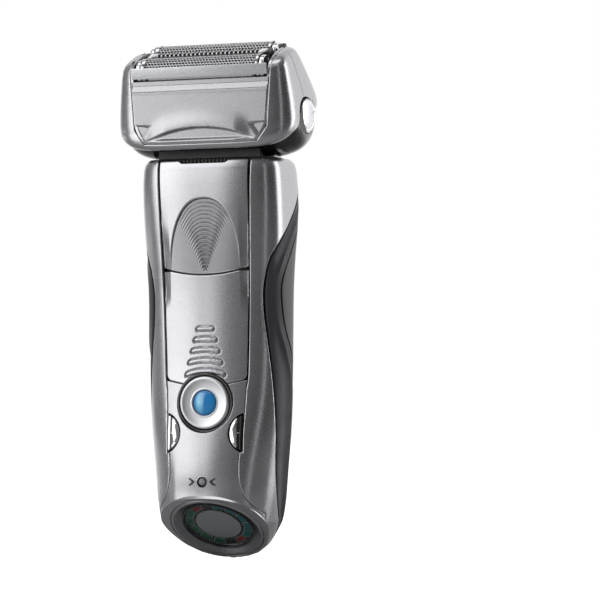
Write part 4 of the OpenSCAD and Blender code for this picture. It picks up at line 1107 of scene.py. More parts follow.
class SHAVER_OT_buttons(ShaverStep, bpy.types.Operator):
    """Power button with its lens and ring, the speed keys and the reset button"""
    bl_idname = "shaver.buttons"
    bl_label = "Buttons"

    def execute(self, context):
        shape, _, looks = self.start(context)
        sizes = context.scene.shaver_controls
        self.power(shape, looks, mm(sizes.power_diameter) / 2, mm(sizes.lens_diameter) / 2)
        for side, name, body in ((-1, "minus_key", "minus"), (1, "plus_key", "plus")):
            self.speed_key(shape, looks, side, name, body)
        self.reset(shape, looks, mm(sizes.reset_diameter) / 2)
        return {"FINISHED"}

    def power(self, shape, looks, r, lens_r):
        front = float(shape.rows(np.array([shape.power_z]))[1][0])
        face = front + 0.5
        profile = rounded_profile((
            (0, 10.4), (r - 0.1, 10.4), (r - 0.1, face - 0.9), (r - 0.45, face - 0.02, 0.5),
            (r - 1.15, face + 0.02, 0.3), (r - 1.7, face - 0.12, 0.3), (lens_r + 2.0, face - 0.26, 1.2),
            (lens_r + 0.75, face - 0.36, 0.2), (lens_r + 0.35, face - 0.3, 0.12),
            (lens_r + 0.06, face - 0.55, 0.08), (lens_r + 0.06, face - 1.6), (0, face - 1.6)), 0.25, 5)
        button = moved(turned(profile, 144), TO_FRONT, (0, 0, shape.power_z))
        build("power_button_metal", button, "power_key", looks["key"], ("power_button",))
        dome = [(lens_r * math.cos(a) * 0.995, face - 0.8 + 1.35 * math.sin(a))
                for a in np.linspace(0, math.pi / 2, 18)]
        lens = moved(turned([(0, face - 1.5), (lens_r * 0.995, face - 1.5)] + dome, 96),
                     TO_FRONT, (0, 0, shape.power_z))
        build("power_lens_dome", lens, "power_key", looks["lens"], ("power_lens",))
        ring = ring_solid(shape, r + 0.12, shape.ring_r - 0.05, front - 2.6, front - 0.35)
        build("power_ring", ring, "handle", looks["gloss_black"])
        # The power mark is an open circle with a stroke at its top
        arc = [math.radians(a) for a in np.linspace(130, 410, 30)]
        outer = [(1.25 * math.cos(a), 1.25 * math.sin(a)) for a in arc]
        inner = [(0.98 * math.cos(a), 0.98 * math.sin(a)) for a in reversed(arc)]
        mark = joined(prism(outer + inner, 0, 0.12, 0.03, 1),
                      prism(((-0.14, 0.25), (0.14, 0.25), (0.14, 1.5), (-0.14, 1.5)), 0, 0.12, 0.03, 1))
        mark = moved(mark, TO_FRONT, (0, -(face - 0.74), shape.power_z - 5.95))
        build("power_mark", mark, "power_key", looks["dark_silver"])

    def speed_key(self, shape, looks, side, name, body):
        """A rounded D: a domed chrome crescent, a black strip and a thin outer rib."""
        edge = shape.key_x + shape.key_w / 2
        bow, half = shape.key_bow, shape.key_h / 2

        def crescent(left, right, shrink):
            """The part of the D between two uprights, as an outline."""
            top = []
            for x in np.linspace(left, right, 9):
                reach = bow - shrink
                rise = math.sqrt(max(reach ** 2 - (x - (edge - shape.key_w + bow)) ** 2, 0))
                top.append((x, min(rise, half - shrink)))
            return top + [(x, -z) for x, z in reversed(top)]

        inner = edge - shape.key_w + 0.12
        pieces = (
            (name + "_cap", crescent(inner, edge - 1.55, 0.12), -3.6, 0.32, 0.35, "chrome", "chrome"),
            (name + "_strip", crescent(edge - 1.75, edge - 0.7, 0.3), -3.4, -0.28, 0.1, "gloss_black",
             "gloss_black"),
            # The right key's rib takes the gloss black where the left key's is chrome: painted shade on that
            # side
            (name + "_rib", crescent(edge - 0.82, edge - 0.05, 0.25), -3.6, 0.05, 0.22,
             *(("chrome", "chrome") if side < 0 else ("gloss_black", "gloss_black"))),
        )
        for order, (title, outline, low, high, rim, look, slot) in enumerate(pieces):
            outline = [(x * side, z) for x, z in outline]
            points, faces = prism(outline, low, high, rim, 4)
            x = np.abs(points[:, 0])
            if order == 0:
                share = np.clip((x - inner) / (edge - 1.55 - inner), 0, 1)
                points[:, 2] += np.where(points[:, 2] > -1, -0.5 * (1 - share) ** 2 - 0.03 *
                                         (points[:, 1] / half * 3) ** 2 * 0.3, 0)
            lay = on_face(shape, points, shape.key_z)
            build(title, (lay, faces), body, looks[look], (name,) if order == 0 else ())
        tick = prism(((side * (edge - 1.7), -0.17), (side * (edge - 0.85), -0.17),
                      (side * (edge - 0.85), 0.17), (side * (edge - 1.7), 0.17)), -0.4, -0.16, 0.04, 1)
        build(name + "_tick", (on_face(shape, tick[0], shape.key_z), tick[1]), body, looks["pale_silver"])

    def reset(self, shape, looks, r):
        front = float(shape.rows(np.array([shape.reset_z]))[1][0])
        r = 0.82 * r
        profile = rounded_profile(((0, front - 3.4), (r + 0.7, front - 3.4), (r + 0.7, front - 2.6),
                                   (r, front - 2.6), (r, front - 0.35, 0.3), (0, front - 0.15)), 0.15, 4)
        dot = moved(turned(profile, 64), TO_FRONT, (0, 0, shape.reset_z))
        build("reset_button_dot", dot, "reset", looks["grey"], ("reset_button",))


# ---------- Display ----------


class SHAVER_OT_display(ShaverStep, bpy.types.Operator):
    """Bezel and coloured bars of the round display"""
    bl_idname = "shaver.display"
    bl_label = "Display"

    def execute(self, context):
        shape, _, looks = self.start(context)
        sizes = context.scene.shaver_display
        r, w = mm(sizes.bezel) / 2, mm(sizes.window) / 2
        section = rounded_loop((
            (r, -1.9), (r, -0.05, 0.3), (r - 0.75, 0.16, 0.3), (r - 1.35, -0.25, 0.8), (w + 0.7, -1.25, 0.9),
            (w + 0.12, -1.45, 0.2), (w + 0.05, -1.6, 0.05), (w - 0.5, -1.66, 0.1), (w - 0.55, -3.0),
            (w + 1.0, -3.0), (w + 1.0, -1.9)), 0.08, 4)
        points, faces = turned(section, 160, loop=True)
        build("display_bezel_ring", (shape.on_dial(points[:, 0], points[:, 1], points[:, 2]), faces),
              "handle", looks["dark_silver"], ("display_bezel",))
        # A gloss black ring along the window's edge: the rim of the window, made dark in part as painted shade
        # of the recess round the bars
        pane = turned(rounded_loop(((w - 0.02, -1.45), (w - 0.02, -0.85), (w - 0.3, -0.7), (w - 0.62, -0.95),
                                    (w - 0.62, -1.45)), 0.08, 3), 160, loop=True)
        build("display_window_edge", (shape.on_dial(*pane[0].T), pane[1]), "handle", looks["gloss_black"])
        self.bars(shape, looks, "charge_segments", "teal", -45, 5, "teal_display", sizes)
        self.bars(shape, looks, "clean_segments", "green", 135, 5, "green_display", sizes)
        self.bars(shape, looks, "service_segments", "red", -72, 1, "red_display", sizes, second=108)
        return {"FINISHED"}

    def bars(self, shape, looks, node, look, first, count_, slot, sizes, second=None):
        inner, outer = mm(sizes.bar_inner), mm(sizes.bar_outer)
        step = 27
        starts = [first + i * step for i in range(count_)] + ([second] if second is not None else [])
        fills, lines = [], []
        for start in starts:
            for target, shrink, low, high in ((lines, 0.0, 1.0, 1.14), (fills, 0.22, 1.05, 1.2)):
                margin = math.degrees(shrink / outer)
                turn = np.radians(np.linspace(start + margin, start + step - 4 - margin, 12))
                outline = [((inner + shrink) * math.cos(a), (inner + shrink) * math.sin(a)) for a in turn]
                outline += [((outer - shrink) * math.cos(a), (outer - shrink) * math.sin(a))
                            for a in reversed(turn)]
                points, faces = prism(rounded_loop(outline, 0.18, 2), low - 3.1, high - 3.1, 0.04, 1)
                target.append((shape.on_dial(points[:, 0], points[:, 1], points[:, 2]), faces))
        build(node + "_bars", joined(*fills), "handle", looks[look], (node,))
        build(node + "_outlines", joined(*lines), "handle", looks["print"])


# ---------- Trimmer ----------


class SHAVER_OT_trimmer(ShaverStep, bpy.types.Operator):
    """Trimmer cover with its rippled thumb arch, and the slide with its ridges"""
    bl_idname = "shaver.trimmer"
    bl_label = "Trimmer"

    def execute(self, context):
        shape, _, looks = self.start(context)
        sizes = context.scene.shaver_trimmer
        self.arch_half, self.arch_height = mm(sizes.arch_half), mm(sizes.arch_height)
        self.pitch, self.depth = mm(sizes.ripple_pitch), mm(sizes.ripple_depth)
        gap = shape.joint / 2
        top = shape.height - 0.3

        def notch(p):
            """Distance outside the black opening over the comb, at the cover's upper edge."""
            half = 7.4 + (p[:, 2] - (shape.height - 1.6)) * 1.5
            return np.maximum(np.abs(p[:, 0]) - half, (shape.height - 1.6) - p[:, 2])

        def border(p):
            """Distance outside the thumb arch."""
            return (self.share(shape, p)[2] - 1) * self.arch_half

        cover = lattice(np.linspace(-14.8, 14.8, 120), np.linspace(shape.cover_z - 2.6, top, 150),
                        shape.face)
        body = skin(cover, edges=(
            (lambda p: shape.inside_front(p, gap), 0.4),
            (lambda p: shape.arc(p) - 0.24, 0.25),
            (lambda p: top - p[:, 2] - 0.01, 0.5),
            (notch, 0.3),
            (border, 0.3),
        ), radius=0.3, relief=lambda p: -self.flank(p[:, 0], p[:, 2], shape), wall=1.1,
            outward=FORWARDS)
        build("trimmer_cover_skin", body, "trimmer", looks["silver"], ("trimmer_cover",))
        arch = lattice(np.linspace(-12.4, 12.4, 150), np.linspace(shape.cover_z - 2.6, top - 6, 230),
                       shape.face)
        body = skin(arch, edges=(
            (lambda p: shape.arc(p) - 0.24, 0.25),
            (lambda p: -0.05 - border(p), 0.15),
        ), radius=0.2, relief=lambda p: self.arch_relief(shape, p), wall=0.8,
            outward=FORWARDS)
        # The arch takes that darker finish: painted shade in the scoop
        build("trimmer_cover_arch", body, "trimmer", looks["arch"])

        ridges = int(sizes.ridges)
        self.ridge_pitch = mm(sizes.ridge_pitch)
        slide = lattice(np.linspace(-14.4, 14.4, 150), np.linspace(shape.slide_low - 2.6,
                                                                    shape.cover_z + 1.0, 190), shape.face)
        body = skin(slide, edges=(
            (lambda p: self.rounded_foot(shape, p, gap), 0.35),
            (lambda p: -shape.arc(p) - 0.24, 0.35),
            (lambda p: shape.power_outside(p, shape.ring_r + 0.02), 0.25),
        ), radius=0.3, relief=lambda p: self.slide_relief(shape, p, ridges), wall=1.1,
            outward=FORWARDS)
        build("trimmer_slide_skin", body, "slide", looks["silver"], ("trimmer_slide",))
        return {"FINISHED"}

    @staticmethod
    def rounded_foot(shape, p, gap):
        """Inside the slide's outline, whose two lower corners are rounded."""
        side, low = shape.inside_front(p, gap), shape.slide_foot(p)
        r = 1.5
        corner = r - np.hypot(np.maximum(r - side, 0), np.maximum(r - low, 0))
        return np.where((side < r) & (low < r), corner, np.minimum(side, low))

    def share(self, shape, p):
        """Shares of the arch's half width and height, and how near its border: 1 on it."""
        z = p[:, 2] - shape.cover_z - 0.3
        across, rise = np.abs(p[:, 0]) / self.arch_half, np.maximum(z, 0.0) / self.arch_height
        return across, rise, (across ** 2.3 + rise ** 2.3) ** (1 / 2.3)

    def arch_relief(self, shape, p):
        """The thumb arch: a shallow scoop, rippled up its middle."""
        across, rise, s = self.share(shape, p)
        turn = np.degrees(np.arctan2(across, rise + 0.03))
        wide = (1 - smoothstep(turn, 4, 50)) * smoothstep(s, 0.02, 0.10)
        wave = np.cos(2 * math.pi * (1 - s) * self.arch_height / self.pitch)
        scoop = 0.15 + 0.6 * rise + 0.25 * np.clip(1 - across ** 2, 0, 1)
        ripple = self.depth * wave * wide * smoothstep(s, 1.0, 0.965)
        return ripple - scoop - self.flank(p[:, 0], p[:, 2], shape)

    @staticmethod
    def flank(x, z, shape):
        """How far the strips beside the arch slope back near the joint."""
        near = smoothstep(z, shape.cover_z - 14, shape.cover_z - 1) * smoothstep(z, shape.cover_z + 26,
                                                                                   shape.cover_z + 2)
        return 0.34 * np.maximum(np.abs(x) - 11.75, 0) * near

    def slide_relief(self, shape, p, ridges):
        x, z = p[:, 0], p[:, 2]
        total = -self.flank(x, z, shape)
        for i in range(ridges):
            zi = shape.cover_z - 17 - i * self.ridge_pitch
            half, r = 2.9 + 0.95 * i, 30 - 3 * i
            level = np.hypot(x, z - (zi - r)) - r
            along = np.maximum(np.abs(x) - (half - 0.7), 0)
            d = np.hypot(level, along) - 0.7
            total = total + 0.34 * smoothstep(d, 0.05, -0.42) - 0.30 * np.exp(-((d - 0.16) / 0.17) ** 2)
        return total


class SHAVER_OT_head_lock(ShaverStep, bpy.types.Operator):
    """Sliding switch on the back that holds the head still"""
    bl_idname = "shaver.head_lock"
    bl_label = "Head Lock"

    def execute(self, context):
        shape, _, looks = self.start(context)
        z = shape.height - 13
        back = float(shape.rows(np.array([z - 2.6]))[2][0])
        pill = [(2.4 + 2.6 * math.cos(a), 2.6 * math.sin(a))
                for a in np.linspace(-math.pi / 2, math.pi / 2, 14)]
        pill += [(-x, -y) for x, y in pill]
        points, faces = prism(pill, 0.15, 1.55, 0.3, 4)
        parts = [(points, faces)]
        for rise in (-1.5, -0.5, 0.5, 1.5):
            parts.append(block((-2.9, rise - 0.22, 1.2), (2.9, rise + 0.22, 1.85), 0.12))
        stem = block((-1.6, -2, -4.2), (1.6, 2, 0.6), 0.15)
        foot = block((-4, -2.4, -4.4), (4, 2.4, -3.2), 0.15)
        to_back = ((-1, 0, 0), (0, 0, 1), (0, 1, 0))
        solid = moved(joined(*parts, stem, foot), to_back, (0, back, z))
        build("head_lock_switch", solid, "lock", looks["black"], ("head_lock",))
        return {"FINISHED"}


# ---------- Head ----------


class SHAVER_OT_head_frame(ShaverStep, bpy.types.Operator):
    """Silver frame of the swivelling head"""
    bl_idname = "shaver.head_frame"
    bl_label = "Head Frame"

    def execute(self, context):
        _, head, looks = self.start(context)
        turns = np.linspace(0, 2 * math.pi, 361)
        heights = np.concatenate((np.linspace(-17, -5.15, 14), np.linspace(-5, 20.6, 96),
                                  np.linspace(20.75, 32.4, 14)))
        body = skin(lattice(turns, heights, head.around), edges=(
            (head.seat, 0.35),
            (lambda p: self.opening(head, p), 0.45),
        ), radius=0.4, wall=1.0, relief=lambda p: self.relief(head, p))
        seat = skin(self.seat_sheet(head), edges=(
            (lambda p: np.maximum(np.hypot(p[:, 1], p[:, 2]) - 14.6, p[:, 2] - 6.6), 0.0),
        ), radius=0, wall=0.8)
        build("head_frame_skin", joined(body, seat), "head", looks["silver"], ("head_frame",),
              place=head.lean_out)
        return {"FINISHED"}

    @staticmethod
    def opening(head, p):
        """Distance outside the round holes for the release buttons, and outside the black underside."""
        reach = np.hypot(p[:, 1] + 0.6, p[:, 2] + 1.0)
        under = np.hypot(p[:, 1], p[:, 2]) - 13.4
        return np.where(np.abs(p[:, 0]) < 26.5, under, reach - head.release_r - 0.45)

    @staticmethod
    def relief(head, p):
        """The arms' sides stand proud of their front: a crease runs down between them."""
        x, y, z = np.abs(p[:, 0]), p[:, 1], p[:, 2]
        half, _ = head.half_at(z)
        return -0.05 * np.exp(-((x - half + 2.2) / 1.6) ** 2) * smoothstep(z, -1, 4) * (y < -4)

    @staticmethod
    def seat_sheet(head):
        """The frame's inner wall, from the top of one arm, under the cassette, to the top of the other."""
        line = np.array(rounded_profile(((head.bezel_x + 0.36, 20.6), (head.bezel_x - 1.2, 2.0, 3.0),
                                         (head.bezel_x - 4.6, -2.2, 1.2), (4.6 - head.bezel_x, -2.2, 1.2),
                                         (1.2 - head.bezel_x, 2.0, 3.0), (-head.bezel_x - 0.36, 20.6)), 1.0, 8))
        run = np.concatenate(([0], np.cumsum(np.hypot(*np.diff(line, axis=0).T))))

        def place(u, v):
            x, z = np.interp(u, run, line[:, 0]), np.interp(u, run, line[:, 1])
            half, depth = head.half_at(z)
            y = depth * (1 - np.clip(np.abs(x / half), 0, 0.999) ** HEAD_SQUARE) ** (1 / HEAD_SQUARE)
            return np.stack((x, v * (y - 0.3), z), -1)

        return lattice(np.linspace(0, run[-1], 150), np.linspace(-1, 1, 70), place)


class SHAVER_OT_head_pan(ShaverStep, bpy.types.Operator):
    """Black underside of the head"""
    bl_idname = "shaver.head_pan"
    bl_label = "Head Pan"

    def execute(self, context):
        _, head, looks = self.start(context)
        side = head.side

        def belly(x, turn):
            """The rounded underside, about the swivel axis."""
            r = 13.2 * (1 - np.clip(np.abs(x / side), 0, 0.9995) ** 4.6) ** (1 / 4.6)
            return np.stack((x, r * np.cos(turn), r * np.sin(turn)), -1)

        xs = side * np.sin(np.linspace(-math.pi / 2, math.pi / 2, 140))
        under = skin(lattice(xs, np.radians(np.linspace(-200, 20, 80)), belly), edges=(
            (lambda p: 5.8 - p[:, 2], 0.0),
            (self.post_outside, 0.25),
            (lambda p: np.hypot(p[:, 1], p[:, 2]) - head.release_r - 0.25, 0.2),
        ), radius=0.2, wall=0.7)
        build("head_pan_skin", under, "head", looks["gloss_black"], ("head_pan",),
              place=head.lean_out)
        return {"FINISHED"}

    @staticmethod
    def post_outside(p):
        """Distance outside the slots that the posts swing in."""
        x, y, z = np.abs(p[:, 0]), p[:, 1], p[:, 2]
        turn = np.degrees(np.arctan2(y, -z))
        slot = np.maximum(np.abs(x - 19.1) - 1.6, (np.abs(turn + 5) - 32) * 0.22)
        return np.where(z < 0, slot, AWAY)


class SHAVER_OT_release_buttons(ShaverStep, bpy.types.Operator):
    """Round release buttons on both sides of the head"""
    bl_idname = "shaver.release_buttons"
    bl_label = "Release Buttons"
    SHIFT = (0.0, -0.6, -1.0)

    def execute(self, context):
        _, head, looks = self.start(context)
        r, side = head.release_r, head.side
        for turn, body, node in ((1, "right_release", "release_right"),
                                 (-1, "left_release", "release_left")):
            disc = self.disc(r, side)
            seam_r = 2.05 * r
            flip = np.array((turn, 1.0, 1.0))

            def crescent(p, turn=turn):
                """Distance inside the front part of the disc, which a curved line sets apart."""
                return np.hypot(p[:, 1] - seam_r * 0.87, p[:, 2]) - seam_r

            for part, keep, lift in (("_front", 1, 0.0), ("_rear", -1, -0.28)):
                sheet = lattice(np.linspace(0, r, 44), np.linspace(0, 2 * math.pi, 121), disc(lift))
                solid = skin(sheet, edges=(
                    (lambda p, keep=keep: keep * crescent(p) - 0.06, 0.16),
                    (lambda p: r - np.hypot(p[:, 1], p[:, 2]) - 0.01, 0.5),
                ), radius=0.2, wall=1.6, outward=np.array((1.0, 0.0, 0.0)))
                build(node + part, (solid[0] * flip + self.SHIFT, solid[1]), body,
                      looks["chrome" if keep > 0 else "key"], (node,) if keep > 0 else (),
                      place=head.lean_out)
            barrel = turned(((0, side - 2.7), (r - 0.15, side - 2.7), (r - 0.15, side + 0.5),
                             (0, side + 0.5)), 72)
            latch = turned(((0, head.bezel_x + 0.2), (1.1, head.bezel_x + 0.2), (1.1, side - 2.6),
                            (0, side - 2.6)), 32)
            core = joined(moved(barrel, TO_RIGHT, self.SHIFT), moved(latch, TO_RIGHT, (0, 0, 4.1)))
            build(node + "_barrel", (core[0] * flip, core[1]), body, looks["black"],
                  place=head.lean_out)
        return {"FINISHED"}

    @staticmethod
    def disc(r, side):
        """The disc's face: a slight dome with a raised rim."""
        def at(lift):
            def place(radius, turn):
                share = radius / r
                x = side + 1.3 + lift - 0.75 * share ** 2 + 0.16 * np.exp(-((share - 0.84) / 0.07) ** 2)
                x = x + 0.17 * radius * np.cos(turn)
                return np.stack((x, radius * np.cos(turn), radius * np.sin(turn)), -1)
            return place
        return at


class SHAVER_OT_cassette(ShaverStep, bpy.types.Operator):
    """Cutting cassette: sculpted plates, pale bands and tray"""
    bl_idname = "shaver.cassette"
    bl_label = "Cassette"

    def execute(self, context):
        _, head, looks = self.start(context)
        bezel = head.bezel_x
        top, low = head.plate_top, head.plate_low
        tilt = np.array((0.0, -0.923, 0.384))

        def plate(x, z):
            return np.stack((x, -head.plate_at(z), z), -1)

        def outline(p):
            """Distance inside the plate's outline, whose lower corners are cut off."""
            x, z = np.abs(p[:, 0]), p[:, 2]
            side = (bezel - 0.3 - (top - z) * 0.092 - x) * 0.996
            corner = ((bezel - 1.75) - x - (2.6 - z) * 0.82) * 0.773
            return np.minimum.reduce((side, corner, z - low, top - 0.6 - z))

        def relief(p):
            x, z = p[:, 0], p[:, 2]
            arch = 2.7 - 2.1 * (x / 14.1) ** 2
            wide = 1 - smoothstep(np.abs(x), 11.5, 17.0)
            above = 0.75 * np.exp(-((z - arch - 0.4) / 2.9) ** 2) * wide
            step = smoothstep(arch - z, 0.0, 0.8)
            below = 0.75 * wide - (0.25 + 0.75 * wide) * step * smoothstep(z, -1.5, -0.5)
            band = -0.25 * np.maximum(z - 13.1, 0) + 0.05 * np.exp(-((z - 12.8) / 0.5) ** 2)
            crease = -0.14 * np.exp(-((z - 13.0) / 0.11) ** 2)
            facet = -0.32 * np.maximum(np.abs(x) - 18.1 + (z - 0.5) * 0.8, 0) * smoothstep(z, 3.6, 2.2)
            return np.where(z > arch, above, below) * smoothstep(z, 12.0, 8.0) + band + crease + facet

        sheet = lattice(np.linspace(-bezel, bezel, 160), np.linspace(low - 0.3, top + 0.3, 110), plate)
        points, faces = skin(sheet, edges=((outline, 0.2),), radius=0.2, relief=relief, wall=0.45,
                             outward=tilt)
        rear = points * np.array((-1.0, -1.0, 1.0))
        for side, form in (("front", points), ("rear", rear)):
            build("cassette_plate_" + side, (form, faces), "cassette", looks["dark_silver"],
                  place=head.lean_out)
        build("cassette_tray", self.tray(head), "cassette", looks["black"], ("cassette_body",),
              place=head.lean_out)
        for side, node in ((1, "trim_front"), (-1, "trim_rear")):
            self.band(head, looks, side, node)
        return {"FINISHED"}

    @staticmethod
    def tray(head):
        """The cassette's ends, its shelf under the cutters, and the walls round them."""
        bezel = head.bezel_x
        z0, z1 = 6.9, 16.6
        y0, y1 = head.plate_at(z0) - 0.9, head.plate_at(z1) - 2.1
        section = rounded_loop(((-y0, z0), (y0, z0), (y1, z1), (-y1, z1)), 0.4, 3)
        points, faces = prism(section, bezel - 1.9, bezel - 0.75, 0.25, 3)
        parts = [(np.stack((side * points[:, 2], points[:, 0], points[:, 1]), -1), faces)
                 for side in (-1, 1)]
        y = head.plate_at(12.2) - 0.9
        drive = head.pitch / 2
        for x0, x1 in ((-bezel + 1.8, -2.9), (2.9, bezel - 1.8)):
            parts.append(block((x0, -y, 11.2), (x1, y, 12.2), 0.2))
        for y0, y1 in ((-y, -drive - 1.9), (1.9 - drive, drive - 1.9), (drive + 1.9, y)):
            parts.append(block((-3.0, y0, 11.2), (3.0, y1, 12.2), 0.15))
        return joined(*parts)

    @staticmethod
    def band(head, looks, side, node):
        """The pale band above a plate: a thin strip that leans back with the plate."""
        base, top = head.plate_at(head.plate_top), head.plate_top
        section = rounded_loop(((base - 0.72, top + 0.1), (base - 0.1, top + 0.1), (base - 0.2, top + 0.75),
                                (base - 0.6, top + 3.5), (base - 1.02, top + 3.5)), 0.1, 3)
        half = head.bezel_x - 0.55
        points, faces = prism([(y, z) for y, z in section], -half, half, 0.3, 4)
        points = np.stack((points[:, 2], -side * points[:, 0], points[:, 1]), -1)
        build(node + "_band", (points, faces), "cassette", looks["pale_silver"], (node,),
              place=head.lean_out)


class SHAVER_OT_foils(ShaverStep, bpy.types.Operator):
    """Perforated foils, their end posts and the slotted middle guard"""
    bl_idname = "shaver.foils"
    bl_label = "Foils"

    def execute(self, context):
        _, head, looks = self.start(context)
        for side, body, node, frame_node in ((-1, "front_element", "foil_front", "foil_frame_front"),
                                             (1, "rear_element", "foil_rear", "foil_frame_rear")):
            self.foil(head, looks, side, body, node)
            self.posts(head, looks, side, body, frame_node)
        self.guard(head, looks)
        return {"FINISHED"}

    def foil(self, head, looks, side, body, node):
        """A sheet bent over the cutter, pierced with rows of small holes."""
        r, centre, foot = head.foil_r, head.foil_z, 14.0
        pitch = head.hole_pitch
        wrap = math.pi * r
        skirt = centre - foot

        def bend(u, w):
            """u runs along the foil, w over it from its front skirt to its rear one."""
            turn = np.clip(w / r, 0, math.pi)
            down = np.maximum(np.maximum(-w, w - wrap), 0)
            return np.stack((u, side * head.pitch / 2 - r * np.cos(turn),
                             centre + r * np.sin(turn) - down), -1)

        rows = int((wrap + 3.4) / (pitch * 0.866))
        start = (wrap - (rows - 1) * pitch * 0.866) / 2
        half = head.foil_half - 1.6
        columns = int(2 * half / pitch)
        ring = np.radians(np.arange(12) * 30 + 15)
        hex_r = pitch / 2 / np.cos(np.radians(((np.arange(12) * 30 + 15) % 60) - 30))
        uv, quads = [], []
        for row in range(rows):
            w0 = start + row * pitch * 0.866
            for column in range(columns):
                u0 = -half + (column + 0.5 + 0.5 * (row % 2)) * pitch
                n = len(uv) * 24
                uv.append(np.concatenate((
                    np.stack((u0 + 0.39 * pitch * np.cos(ring), w0 + 0.38 * pitch * np.sin(ring)), 1),
                    np.stack((u0 + hex_r * np.cos(ring), w0 + hex_r * np.sin(ring)), 1))))
                k = np.arange(12)
                quads.append(np.stack((n + k, n + 12 + k, n + 12 + (k + 1) % 12, n + (k + 1) % 12), 1))
        uv = np.concatenate(uv)
        quads = np.concatenate(quads)
        tris = np.concatenate((quads[:, (0, 1, 2)], quads[:, (0, 2, 3)]))
        points = bend(uv[:, 0], uv[:, 1])
        # Plain margins at both ends and down both skirts
        sheets = []
        low, high = uv[:, 1].min() + 0.05, uv[:, 1].max() - 0.05
        for us, ws in ((np.linspace(-head.foil_half, -half + 0.15, 4), np.linspace(-skirt, wrap + skirt, 44)),
                       (np.linspace(half - 0.15 + pitch / 2, head.foil_half, 4),
                        np.linspace(-skirt, wrap + skirt, 44)),
                       (np.linspace(-half, half, 30), np.linspace(-skirt, low, 8)),
                       (np.linspace(-half, half, 30), np.linspace(high, wrap + skirt, 8))):
            grid, faces, _ = lattice(us, ws, bend)
            sheets.append((bend(grid[:, 0], grid[:, 1]), faces))
        solid = joined((points, tris), *sheets)
        piece = build(node + "_sheet", (solid[0], np.array(solid[1])), body, looks["foil"], (node,),
                      place=head.lean_out)
        thick = piece.modifiers.new("Thickness", "SOLIDIFY")
        thick.thickness, thick.offset = 0.00012, -1.0

    @staticmethod
    def posts(head, looks, side, body, node):
        """The posts at both ends, and the clips that hold the foil to them."""
        r, centre = head.foil_r, head.foil_z
        parts, clips = [], []
        arc = np.radians(np.linspace(0, 180, 17))
        section = [((r + 0.05) * math.cos(a), centre - 0.5 + (r + 0.05) * math.sin(a)) for a in arc]
        section += [(-r - 0.05, 13.7), (r + 0.05, 13.7)]
        for end in (-1, 1):
            points, faces = prism(rounded_loop(section, 0.1, 2), head.foil_half, head.foil_half + 1.5, 0.35, 4)
            parts.append((np.stack((end * points[:, 2], side * head.pitch / 2 + points[:, 0], points[:, 1]),
                                   -1), faces))
            x = end * (head.foil_half - 0.9)
            for turn in (42, 138):
                a = math.radians(turn)
                y, z = -(r + 0.4) * math.cos(a), centre + (r + 0.4) * math.sin(a)
                clips.append(block((x - 0.55, side * head.pitch / 2 + y - 0.35, z - 0.3),
                                   (x + 0.55, side * head.pitch / 2 + y + 0.35, z + 0.2), 0.12))
        for edge in (-1, 1):
            y = side * head.pitch / 2 + edge * (r + 0.22)
            clips.append(block((-head.foil_half - 1.4, y - 0.22, 13.7),
                               (head.foil_half + 1.4, y + 0.22, 15.1), 0.12))
        build(node + "_posts", joined(*parts), body, looks["chrome"], (node,), place=head.lean_out)
        build(node + "_clips", joined(*clips), body, looks["steel"], place=head.lean_out)

    @staticmethod
    def guard(head, looks):
        """The slotted guard between the foils: angled bars across a narrow channel."""
        half, width, top, foot = head.foil_half, 1.7, 21.3, 14.0
        bars, pitch = [], 1.45
        count_ = int(2 * (half - 1.2) / pitch)
        for i in range(count_):
            x = (i - (count_ - 1) / 2) * pitch
            for edge in (-1, 1):
                outline = ((x - 0.26, 0), (x + 0.26, 0), (x + 0.26 + 0.7, edge * width),
                           (x - 0.26 + 0.7, edge * width))
                bars.append(prism(outline, top - 0.5, top, 0.12, 2))
        # The rails along the channel are black, partly as painted shade, so that the gap between the foils and
        # the guard reads dark
        rails = []
        for edge in (-1, 1):
            y0, y1 = sorted((edge * (width - 0.45), edge * width))
            rails.append(block((-half, y0, foot), (half, y1, top - 0.15), 0.16))
        ends = [block((end * half - 0.75 + end * 0.75, -width - 0.15, foot),
                      (end * half + 0.75 + end * 0.75, width + 0.15, top + 0.1), 0.35) for end in (-1, 1)]
        caps = [block((end * (half - 1.3) - 1.2, -width, top - 0.5),
                      (end * (half - 1.3) + 1.2, width, top + 0.02), 0.2) for end in (-1, 1)]
        build("middle_guard_bars", joined(*bars, *caps), "middle_element", looks["chrome"],
              ("middle_guard",), place=head.lean_out)
        build("middle_guard_ends", joined(*ends, *rails), "middle_element", looks["black"],
              place=head.lean_out)


class SHAVER_OT_plain_pieces(ShaverStep, bpy.types.Operator):
    """Finishes and softened edges of the pieces that keep their packed shape"""
    bl_idname = "shaver.plain_pieces"
    bl_label = "Inner Pieces"

    def execute(self, context):
        _, _, looks = self.start(context)
        for name, (look, rounding) in PLAIN_PIECES.items():
            node = NODES[name]
            if not node.material_slots:
                node.data.materials.append(None)
            for spot in node.material_slots:
                spot.link = "OBJECT"
                spot.material = looks[look]
            if rounding:
                soft = node.modifiers.new("Softened Edges", "BEVEL")
                soft.width, soft.segments, soft.limit_method = rounding * 0.001, 2, "ANGLE"
                soft.angle_limit = math.radians(40)
                soft.harden_normals = True
        missing = [name for name, node in NODES.items()
                   if name not in PLAIN_PIECES and not node.hide_render]
        if missing:
            raise RuntimeError("these pieces have no finish: " + ", ".join(missing))
        return {"FINISHED"}


# ---------- Stage ----------


